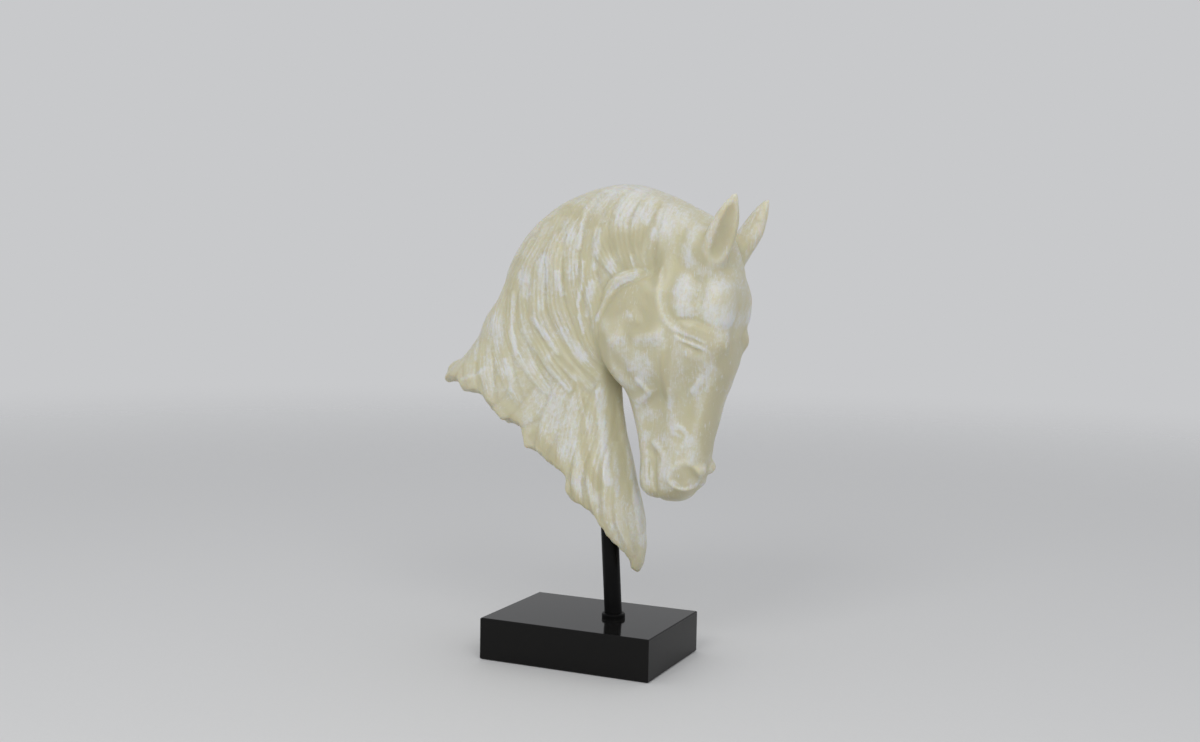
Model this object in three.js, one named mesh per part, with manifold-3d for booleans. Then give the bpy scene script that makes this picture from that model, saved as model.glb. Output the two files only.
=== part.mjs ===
// A horse head with a strongly arched neck, cast in pale resin, held up by a leaning black rod
// that stands in a thin collar on a rectangular black block. Millimetres, +Z up. The origin is
// the middle of the block's underside, +X is the way the block is long and the horse faces, and
// -Y is the horse's right side.
import * as THREE from "three";
import { mergeVertices } from "three/addons/utils/BufferGeometryUtils.js";
import Module from "manifold-3d";

// Driving dimensions
const baseLength = 165.7;
const baseWidth = 118.4;
const baseHeight = 38;
const baseEdge = 0.8;
const rodDiameter = 16;
const rodLean = 3.76;
const rodFootForward = 23.2;
const rodFree = 86.2;
const rodInHead = 52;
const rodInBase = 14;
const collarWidth = 2.4;
const collarHeight = 4.6;
const collarRound = 1.4;
const clearance = 0.3;
const headHeight = 348;

// The free form is drawn at one height and scaled to headHeight. The rod enters it at drawnEntry.
const drawnHeight = 348;
const drawnEntry = new THREE.Vector3(17.55, 0, 124);

const degree = Math.PI / 180;
const rodAxis = new THREE.Vector3(-Math.sin(rodLean * degree), 0, Math.cos(rodLean * degree));
const rodFoot = new THREE.Vector3(rodFootForward, 0, baseHeight);
const rodEntry = rodFoot.clone().addScaledVector(rodAxis, rodFree);
const rodRadius = rodDiameter / 2;
const boreRadius = rodRadius + clearance;
const headScale = headHeight / drawnHeight;

const resin = new THREE.MeshStandardMaterial({ color: 0xd6cfb6, roughness: 0.5, metalness: 0 });
const gloss = new THREE.MeshStandardMaterial({ color: 0x15130f, roughness: 0.12, metalness: 0 });
const satin = new THREE.MeshStandardMaterial({ color: 0x100f0e, roughness: 0.4, metalness: 0 });

const clamp = (x, a, b) => Math.min(Math.max(x, a), b);

// The S-shaped step from 0 at a to 1 at b.
function step(a, b, x) {
  const t = clamp((x - a) / (b - a), 0, 1);
  return t * t * (3 - 2 * t);
}

// The smaller of two distances, rounded over k: two forms join with a fillet.
function join(a, b, k) {
  const h = Math.max(k - Math.abs(a - b), 0) / k;
  return Math.min(a, b) - (h * h * k) / 4;
}

// The larger of a distance and another turned about: the second form is carved out of the first.
const carve = (a, b, k) => -join(-a, b, k);

// A smooth curve through stations, cubic between them, with the slope that the neighbours give.
function through(xs, ys) {
  const n = xs.length;
  const slope = ys.map((y, i) => {
    const a = Math.max(i - 1, 0);
    const b = Math.min(i + 1, n - 1);
    return (ys[b] - ys[a]) / (xs[b] - xs[a]);
  });
  return (at) => {
    const x = clamp(at, xs[0], xs[n - 1]);
    let i = 0;
    while (i < n - 2 && x >= xs[i + 1]) i += 1;
    const h = xs[i + 1] - xs[i];
    const t = (x - xs[i]) / h;
    const t2 = t * t;
    const t3 = t2 * t;
    return (
      (2 * t3 - 3 * t2 + 1) * ys[i] +
      (t3 - 2 * t2 + t) * h * slope[i] +
      (3 * t2 - 2 * t3) * ys[i + 1] +
      (t3 - t2) * h * slope[i + 1]
    );
  };
}

// How far a point is into the rounded edge of a plate: 0 inside, 1 on the edge.
const edge = (inside, radius) => Math.max(0, 1 - inside / radius);

// A quarter ellipse over 0 to 1.
function ellipse(u) {
  const t = 1 - clamp(u, 0, 1);
  return Math.sqrt(Math.max(1 - t * t, 0));
}

// A nearly true distance to an ellipsoid.
function ball(p, centre, radii) {
  const q = Math.hypot(
    (p[0] - centre[0]) / radii[0],
    (p[1] - centre[1]) / radii[1],
    (p[2] - centre[2]) / radii[2],
  );
  return (q - 1) * Math.min(...radii);
}

// More points along a smooth curve through a few.
function curveThrough(points, count) {
  const along = [0];
  for (let i = 1; i < points.length; i += 1)
    along.push(
      along[i - 1] + Math.hypot(points[i][0] - points[i - 1][0], points[i][1] - points[i - 1][1]),
    );
  const fx = through(along, points.map((p) => p[0]));
  const fy = through(along, points.map((p) => p[1]));
  const out = [];
  for (let i = 0; i < count; i += 1) {
    const t = (along[along.length - 1] * i) / (count - 1);
    out.push([fx(t), fy(t)]);
  }
  return out;
}

// Distance from a point to a chain of points, and the share of the chain's length there.
function toChain(u, v, chain) {
  let best = Infinity;
  let share = 0;
  const last = chain.length - 1;
  for (let i = 0; i < last; i += 1) {
    const [ax, ay] = chain[i];
    const ex = chain[i + 1][0] - ax;
    const ey = chain[i + 1][1] - ay;
    const t = clamp(((u - ax) * ex + (v - ay) * ey) / (ex * ex + ey * ey), 0, 1);
    const dist = Math.hypot(u - ax - t * ex, v - ay - t * ey);
    if (dist < best) {
      best = dist;
      share = (i + t) / last;
    }
  }
  return [best, share];
}

// The neck: a plate between the arched crest, the front line and the broken lower edge.
const pivot = [20, 255];
const crestRadius = through(
  [-90, -20, 20, 40, 58, 66, 73, 80, 88, 96, 106, 119, 130, 136, 141, 147, 151, 156, 165, 173,
    180, 190, 205],
  [400, 300, 190, 158, 167, 171.5, 176, 179, 178.6, 175, 171, 163.5, 154.5, 148.5, 142.5,
    139.3, 139.8, 142, 144, 154.5, 173, 196, 230],
);
const cutCentre = [-192, 1];
const cutRadius = through(
  [16, 18, 19.9, 21.2, 24, 27, 29.5, 32, 34, 36, 38, 39.5, 41, 43, 44.5, 46.5, 48.5, 51.5, 54,
    56, 57.5, 59, 60.5, 62, 64, 67, 69, 71, 73, 75.5, 77, 78.5, 80, 82],
  [257, 252.8, 250, 250.8, 251.8, 247, 248, 246.5, 244.8, 241, 236, 235, 235.2, 242, 241.7, 240.2,
    238, 236, 233, 239.4, 244, 243, 241.5, 239.7, 242.6, 246.5, 250.5, 250, 248.5, 253, 251.5,
    250.5, 249, 254],
);
const frontLine = through(
  [60, 85, 91, 108, 131, 166, 190, 211, 245, 275, 310, 350, 400, 440],
  [45, 49.5, 51.5, 53, 50.3, 42, 36.3, 31.8, 28.3, 30.5, 50, 80, 112, 130],
);
const tipWidth = through([80, 95, 120, 160, 200], [0.45, 0.6, 0.8, 0.97, 1]);

function neck(x, y, z) {
  const dx = x - pivot[0];
  const dz = z - pivot[1];
  let angle = Math.atan2(dz, dx) / degree;
  if (angle < -90) angle += 360;
  const toCrest = crestRadius(angle) - Math.hypot(dx, dz);
  const cx = x - cutCentre[0];
  const cz = z - cutCentre[1];
  const ragged =
    1.5 * Math.sin(0.13 * x + 0.09 * y + 1) * Math.sin(0.11 * z - 0.12 * y + 2) +
    0.7 * Math.sin(0.29 * x + 0.9) * Math.sin(0.21 * y + 0.17 * z);
  const toCut = Math.hypot(cx, cz) - cutRadius(Math.atan2(cz, cx) / degree) + ragged;
  const toFront = frontLine(z) - x;
  const fromThroat = Math.hypot(x - 45, z - 300);
  const half =
    (29 + 18 * step(30, 190, fromThroat)) *
    Math.max(ellipse(toCrest / 95) ** 0.9, 0.16) *
    Math.max(ellipse(toFront / 42), 0.35) *
    tipWidth(z);
  const full = step(95, 190, z);
  const q = Math.hypot(
    y / half,
    edge(toCrest, 9),
    edge(toFront, 4 + 9 * full),
    edge(toCut, 4 + 7 * full),
  );
  return { distance: (q - 1) * Math.min(half, 24), toCut, toCrest };
}

// The locks of the mane on the neck's side: points from root to tip, half width, height.
const locks = [
  [[[78, 420], [76, 392], [68, 352]], 9, 2.8],
  [[[63, 424], [54, 392], [58, 360]], 9.5, 2.8],
  [[[50, 427], [36, 396], [47, 354]], 10, 3.2],
  [[[58, 352], [30, 343], [12, 306]], 7, 4.4],
  [[[36, 424], [14, 385], [33, 350]], 10.5, 3],
  [[[24, 420], [2, 372], [10, 330], [20, 290]], 10.5, 3.4],
  [[[10, 418], [-13, 372], [-6, 322], [18, 274]], 11, 3.2],
  [[[-6, 413], [-29, 362], [-17, 305], [15, 262]], 11.5, 3.6],
  [[[-22, 404], [-44, 350], [-32, 296], [6, 252]], 11.5, 3.2],
  [[[-38, 391], [-58, 343], [-47, 298], [-12, 250]], 11.5, 3.4],
  [[[-54, 376], [-72, 328], [-63, 286], [-34, 246]], 11.5, 3.2],
  [[[-68, 359], [-86, 314], [-78, 274], [-60, 236]], 11.5, 3.2],
  [[[-82, 340], [-98, 302], [-94, 264], [-84, 236]], 10.5, 3],
  [[[-94, 322], [-112, 286], [-112, 262], [-104, 242]], 10, 3],
  [[[-106, 302], [-126, 274], [-132, 256]], 9, 2.4],
  [[[-10, 262], [-24, 236], [-30, 200], [-34, 184]], 11, 2.6],
  [[[4, 258], [-6, 225], [-10, 188], [-12, 160]], 10.5, 2.8],
  [[[14, 254], [8, 215], [5, 175], [6, 145]], 8.5, 3],
  [[[22, 250], [18, 205], [19, 160], [24, 125]], 6.6, 2.8],
  [[[28, 246], [28, 200], [31, 150], [37, 110]], 5.8, 3],
  [[[33, 242], [36, 195], [41, 140], [46, 100]], 5.4, 2.6],
  [[[38, 236], [44, 185], [50, 120]], 5, 2.2],
  [[[-34, 248], [-48, 226], [-66, 212]], 11, 2.2],
  [[[-60, 240], [-74, 226], [-92, 222]], 9, 2],
].map(([points, half, height]) => ({ chain: curveThrough(points, 8), half, height }));

function lockHeight(x, z) {
  let top = 0;
  for (const { chain, half, height } of locks) {
    const [dist, t] = toChain(x, z, chain);
    if (dist > half) continue;
    const w = half * (0.7 + 0.3 * step(0, 0.25, t)) * (1 - 0.45 * step(0.5, 1, t));
    const p = Math.max(1 - (dist / w) ** 2, 0);
    const fade = (0.35 + 0.65 * step(0, 0.3, t)) * (1 - 0.55 * step(0.8, 1, t));
    top = Math.max(top, height * p * fade);
  }
  return top;
}

// The far side has the same flow of hair, shifted a little and shallower.
function maneHeight(x, y, z) {
  const near = step(3, -3, y);
  const a = near > 0 ? lockHeight(x, z) : 0;
  const b =
    near < 1 ? 0.75 * lockHeight(x + 5 * Math.sin(z / 41) + 4, z + 4 * Math.sin(x / 33)) : 0;
  return near * a + (1 - near) * b;
}

// The head has its own axes: s runs down the face from the poll, d stands out of the face.
const poll = [112, 392];
const faceLength = Math.hypot(27, 232);
const down = [-27 / faceLength, -232 / faceLength];
const out = [232 / faceLength, -27 / faceLength];

const faceLine = through(
  [-40, -20, -4, 14, 28, 38, 48, 65, 91, 103, 115, 127, 147, 182, 200, 216, 232, 246],
  [-70, -22, 7, 21, 29, 32.5, 34.5, 35, 35, 36.5, 36.5, 34, 29.5, 25, 23.5, 19.5, 9, -6],
);
const skullFloor = through([-30, 0, 100, 150, 220, 246], [-60, -48, -38, -26, -20, -14]);
const skullHalf = through(
  [-30, -5, 12, 40, 70, 95, 112, 130, 150, 180, 205, 220, 234, 246],
  [16, 25, 29, 34, 38, 40, 37, 30.5, 25.5, 22, 24, 25, 21, 14],
);
const faceRound = through([0, 50, 90, 120, 150, 246], [30, 25, 19, 21, 16, 15]);

function skull(s, d, y) {
  const half = skullHalf(s);
  const q = Math.hypot(
    y / half,
    edge(faceLine(s) - d, faceRound(s)),
    edge(d - skullFloor(s), 20),
    edge(245 - s, 16),
    edge(s + 26, 24),
  );
  return (q - 1) * Math.min(half, 22);
}

const jawLine = through(
  [40, 52, 70, 86, 100, 115, 130, 142, 153, 165, 178, 192, 208, 226, 238, 246],
  [-48, -62, -77, -84, -85.5, -83.5, -77, -69, -61, -54.5, -49, -44, -39.5, -37, -31.5, -15],
);
const jawHalf = through(
  [40, 60, 100, 125, 150, 180, 210, 236, 246],
  [30, 35, 38, 35, 24, 17.5, 16.5, 16, 12],
);
const jawRound = through([50, 100, 140, 180, 240], [30, 30, 24, 14, 11]);

function jaw(s, d, y) {
  const half = jawHalf(s);
  const q = Math.hypot(
    y / half,
    edge(d - jawLine(s), jawRound(s)),
    edge(12 - d, 22),
    edge(s - 38, 22),
    edge(244 - s, 10),
  );
  return (q - 1) * Math.min(half, 20);
}

// Ridges and hollows of the face, alike on both sides: points (s, d), height, width, the
// least distance from the middle plane, and whether the ends fade.
const features = [
  [[[36, -29], [47, -31], [62, -28], [76, -21], [88, -9], [97, 3]], 2.1, 5, 16, true],
  [[[42, -18], [54, -20], [68, -19], [80, -12], [86, -4]], -2.6, 5.6, 16, true],
  [[[76, -11], [70, 1], [70, 16], [73, 30], [80, 42]], 1.9, 7.5, 16, true],
  [[[80, -9], [78, 4], [80, 16], [85, 30]], -1.2, 3.4, 16, true],
  [[[90, -9], [94, 2], [96, 12], [98, 23]], -1.8, 3, 16, true],
  [[[105, 3], [110, 12], [108, 22]], 0.9, 5, 16, true],
  [[[38, 2], [50, 8], [60, 10], [68, 8]], -1.8, 6, 14, true],
  [[[46, -5], [56, -3], [64, -4]], 2.2, 9, 14, false],
  [[[40, 19], [55, 23], [68, 26]], 1.5, 10, 0, true],
  [[[100, -16], [118, -14], [138, -11], [160, -7]], 2.6, 4.8, 10, true],
  [[[118, 5], [145, 8], [174, 12]], -2.2, 8, 10, true],
  [[[128, -27], [158, -20], [188, -17]], -1.8, 6, 6, true],
  [[[110, 29], [150, 23], [192, 17]], 1.4, 5, 4, true],
  [[[178, -4], [189, -4]], 2.4, 9, 8, false],
  [[[172, -1], [179, 8], [188, 8], [194, 3]], 1.2, 4, 8, true],
  [[[204, 14], [210, 23], [221, 22], [228, 13], [227, 3], [221, -2], [212, -1], [206, 5],
    [204, 14]], 1.5, 3.4, 9, false],
  [[[212, 14], [220, 9]], -4.2, 6.2, 9, false],
  [[[197, -28], [201, -21]], -1.2, 4.4, 0, false],
  [[[201, -22], [209, -18.5], [217, -17], [228, -15], [238, -13.5], [247, -8]], -1.8, 2.8, 0, false],
  [[[190, -27], [194, -20], [200, -12], [210, -8]], 1.5, 3.6, 4, true],
  [[[140, -22], [151, -32], [164, -47]], 2, 5, 5, true],
  [[[118, -66], [133, -52], [141, -38]], -1.6, 6, 8, true],
  [[[80, -50], [86, -44]], 1.3, 5, 12, false],
  [[[106, -64], [101, -58]], 1.4, 5.5, 12, false],
  [[[99, -41], [95, -22]], 1.5, 6.5, 12, false],
].map(([points, height, width, least, fades]) => ({
  chain: points.length > 2 ? curveThrough(points, 4 * points.length - 3) : points,
  height,
  width,
  least,
  fades,
}));

function featureHeight(s, d, y) {
  let sum = 0;
  for (const { chain, height, width, least, fades } of features) {
    const [dist, t] = toChain(s, d, chain);
    if (dist > 3 * width) continue;
    let h = height * Math.exp(-((dist / width) ** 2));
    if (fades) h *= step(-0.1, 0.3, t) * step(1.1, 0.7, t);
    if (least > 0) h *= step(least - 6, least + 3, y);
    sum += h;
  }
  return sum;
}

// An ear: a pointed leaf with a hollow that opens forward and outward. It is drawn in its own
// axes from its base: across, outward and along.
const earBase = new THREE.Vector3(121, 28, 364);
const earTip = new THREE.Vector3(147, 46.5, 418);
const earAxis = earTip.clone().sub(earBase);
const earLength = earAxis.length();
earAxis.normalize();
const earOpens = new THREE.Vector3(0.5, 0.86, -0.1);
earOpens.addScaledVector(earAxis, -earOpens.dot(earAxis)).normalize();
const earAcross = earOpens.clone().cross(earAxis);
const earHalf = through(
  [-0.3, 0, 0.2, 0.4, 0.6, 0.8, 0.92, 1, 1.06],
  [10.5, 11.4, 12.2, 12.6, 11.2, 7.8, 5.2, 3.4, 2.2],
);

function ear(across, outward, along) {
  const h = along / earLength;
  const u = outward + 2.5 * step(0.5, 1, h);
  const half = earHalf(h);
  const leaf =
    (Math.hypot(across / half, u / (half * 0.74), edge((1.03 - h) * earLength, 5),
      edge((h + 0.3) * earLength, 8)) - 1) * Math.min(half, 7);
  const inner = Math.max(half * 0.76, 0.5);
  const hollow =
    (Math.hypot(across / inner, (u - half * 0.92) / (half * 0.8), edge((0.9 - h) * earLength, 9),
      edge((h - 0.06) * earLength, 14)) - 1) * Math.min(inner, 6);
  return carve(leaf, hollow, 2.4);
}

// The blunt end of the neck's upper edge.
const tuft = [-140, 260, 0];

// The whole free form but for the two ears, less than 0 inside.
function form(x, y, z) {
  const rx = x - poll[0];
  const rz = z - poll[1];
  const s = rx * down[0] + rz * down[1];
  const d = rx * out[0] + rz * out[1];
  const side = Math.abs(y);
  const p = [s, d, side];
  let head = join(skull(s, d, side), jaw(s, d, side), 12);
  head = join(head, ball(p, [98, -44, 24], [47, 42, 17]), 9);
  head = join(head, ball(p, [213, 4, 11], [21, 16, 15]), 8);
  head = join(head, ball(p, [229.5, -23.5, 0], [14, 13, 14]), 6);
  head = carve(head, ball(p, [118, -92, 0], [62, 34, 11]), 8);
  head = join(head, ball(p, [209, 20, 12], [6, 6.3, 8]), 4);
  head = join(head, ball(p, [67, 23, 24.5], [15, 10.5, 10.5]), 9);
  if (Math.abs(head) < 14) head -= featureHeight(s, d, side);
  const lean = (s - 91) * 0.943 - (d - 17) * 0.333;
  const run = (s - 91) * 0.333 + (d - 17) * 0.943;
  head = join(head, ball([lean, run, side], [0, 0, 29.5], [11, 20, 11.5]), 6);
  const n = neck(x, y, z);
  const shown = Math.abs(n.distance) < 14 ? step(3, 11, n.toCut) * step(-1, 16, n.toCrest) : 0;
  const mane = shown > 0 ? maneHeight(x, y, z) * shown : 0;
  const fillet = 6 + 14 * step(60, 10, s) * step(-34, 10, s);
  const whole = join(head, n.distance - mane + 0.9, fillet);
  const tufted = join(whole, ball([x, z, side], tuft, [12.5, 9, 9]), 8);
  return join(tufted, ball([x, z, side], [110, 366, 25], [10, 13, 8]), 9);
}

// Grid lines from a first value on, each stretch with its own spacing.
function gridLines(start, stretches) {
  const lines = [start];
  for (const [end, spacing] of stretches) {
    const from = lines[lines.length - 1];
    const count = Math.round((end - from) / spacing);
    for (let i = 1; i <= count; i += 1) lines.push(from + ((end - from) * i) / count);
  }
  return lines;
}

// The twelve edges of a grid cell as pairs of its eight corners, and its six faces as rings of
// corners. Corner a is at (a & 1, (a >> 1) & 1, (a >> 2) & 1).
const cellEdges = [];
for (let a = 0; a < 8; a += 1)
  for (const bit of [1, 2, 4]) if (!(a & bit)) cellEdges.push([a, a | bit]);
const cellFaces = [[1, 2, 4], [2, 4, 1], [4, 1, 2]].flatMap(([axis, u, v]) =>
  [0, axis].map((low) => [low, low | u, low | u | v, low | v]),
);
const edgeBetween = (a, b) =>
  cellEdges.findIndex(([p, q]) => (p === a && q === b) || (p === b && q === a));
const faceEdges = cellFaces.map((ring) => ring.map((a, i) => edgeBetween(a, ring[(i + 1) % 4])));

// The sheets of surface in a cell: the crossed edges that belong together. On a face that is
// crossed four times each inside corner is cut off by itself.
function sheetsOf(inside) {
  const group = cellEdges.map(([a, b], i) => (inside[a] !== inside[b] ? i : -1));
  const merge = (a, b) => {
    const from = group[a];
    const to = group[b];
    group.forEach((g, i) => {
      if (g === from) group[i] = to;
    });
  };
  cellFaces.forEach((ring, f) => {
    const edges = faceEdges[f];
    const crossed = edges.filter((e) => group[e] >= 0);
    if (crossed.length === 2) merge(crossed[0], crossed[1]);
    if (crossed.length === 4)
      ring.forEach((corner, i) => {
        if (inside[corner]) merge(edges[(i + 3) % 4], edges[i]);
      });
  });
  return group;
}

// The surface where a form is 0: one corner for each sheet of surface in a grid cell, at the
// mean of its crossings and then moved onto the surface, and one face for each crossed line.
function surfaceOf(fn, xs, ys, zs) {
  const nx = xs.length;
  const ny = ys.length;
  const nz = zs.length;
  const at = (i, j, k) => (i * ny + j) * nz + k;
  const value = new Float64Array(nx * ny * nz);
  const blocks = (count) => Array.from({ length: Math.ceil(count / 4) }, (_, i) => 4 * i);
  const reachOf = (lines, i) => lines[Math.min(i + 4, lines.length - 1)] - lines[i];
  for (const bi of blocks(nx))
    for (const bj of blocks(ny))
      for (const bk of blocks(nz)) {
        // A block of grid points far from the surface takes the value of its middle point.
        const ends = [Math.min(bi + 4, nx), Math.min(bj + 4, ny), Math.min(bk + 4, nz)];
        const [mi, mj, mk] = [bi, bj, bk].map((b, m) => (b + ends[m] - 1) >> 1);
        const middle = fn(xs[mi], ys[mj], zs[mk]);
        const far =
          Math.abs(middle) > 1.3 * Math.hypot(reachOf(xs, bi), reachOf(ys, bj), reachOf(zs, bk));
        for (let i = bi; i < ends[0]; i += 1)
          for (let j = bj; j < ends[1]; j += 1)
            for (let k = bk; k < ends[2]; k += 1)
              value[at(i, j, k)] = far ? middle : fn(xs[i], ys[j], zs[k]);
      }
  const cells = new Map();
  const points = [];
  for (let i = 0; i < nx - 1; i += 1)
    for (let j = 0; j < ny - 1; j += 1)
      for (let k = 0; k < nz - 1; k += 1) {
        const place = (a) => [i + (a & 1), j + ((a >> 1) & 1), k + ((a >> 2) & 1)];
        const values = [0, 1, 2, 3, 4, 5, 6, 7].map((a) => value[at(...place(a))]);
        const inside = values.map((v) => v < 0);
        if (inside.every((v) => v === inside[0])) continue;
        const group = sheetsOf(inside);
        const pointOf = new Map();
        const own = group.map((g, e) => {
          if (g < 0) return -1;
          if (!pointOf.has(g)) {
            pointOf.set(g, points.length);
            points.push({ sum: [0, 0, 0], count: 0, reach: 0.35 * (xs[i + 1] - xs[i]) });
          }
          const point = points[pointOf.get(g)];
          const [a, b] = cellEdges[e];
          const t = values[a] / (values[a] - values[b]);
          const [ai, aj, ak] = place(a);
          const [bi, bj, bk] = place(b);
          point.sum[0] += xs[ai] + (xs[bi] - xs[ai]) * t;
          point.sum[1] += ys[aj] + (ys[bj] - ys[aj]) * t;
          point.sum[2] += zs[ak] + (zs[bk] - zs[ak]) * t;
          point.count += 1;
          return pointOf.get(g);
        });
        cells.set(at(i, j, k), own);
      }
  for (const point of points) {
    point.p = point.sum.map((v) => v / point.count);
    for (let round = 0; round < 2; round += 1) {
      const [x, y, z] = point.p;
      const e = 0.4;
      const f = fn(x, y, z);
      const gx = (fn(x + e, y, z) - fn(x - e, y, z)) / (2 * e);
      const gy = (fn(x, y + e, z) - fn(x, y - e, z)) / (2 * e);
      const gz = (fn(x, y, z + e) - fn(x, y, z - e)) / (2 * e);
      const g = gx * gx + gy * gy + gz * gz + 1e-6;
      const move = clamp(-f / Math.sqrt(g), -point.reach, point.reach) / Math.sqrt(g);
      point.p = [x + gx * move, y + gy * move, z + gz * move];
    }
  }
  const positions = points.flatMap((point) => point.p);
  const index = [];
  const apart = (a, b) => Math.hypot(...points[a].p.map((v, m) => v - points[b].p[m]));
  const face = (a, b, c, d) => {
    if (apart(a, c) < apart(b, d)) index.push(a, b, c, a, c, d);
    else index.push(b, c, d, b, d, a);
  };
  for (let i = 1; i < nx - 1; i += 1)
    for (let j = 1; j < ny - 1; j += 1)
      for (let k = 1; k < nz - 1; k += 1) {
        const inside = value[at(i, j, k)] < 0;
        const lines = [
          [at(i + 1, j, k), [[0, 1, 1], [0, 0, 1], [0, 0, 0], [0, 1, 0]], 1],
          [at(i, j + 1, k), [[1, 0, 1], [1, 0, 0], [0, 0, 0], [0, 0, 1]], 2],
          [at(i, j, k + 1), [[1, 1, 0], [0, 1, 0], [0, 0, 0], [1, 0, 0]], 4],
        ];
        for (const [next, ring, bit] of lines) {
          if (inside === value[next] < 0) continue;
          const around = ring.map(([a, b, c]) => {
            const low = a + 2 * b + 4 * c;
            return cells.get(at(i - a, j - b, k - c))[edgeBetween(low, low | bit)];
          });
          if (inside) face(...around);
          else face(...around.reverse());
        }
      }
  return { positions, index };
}

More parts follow.
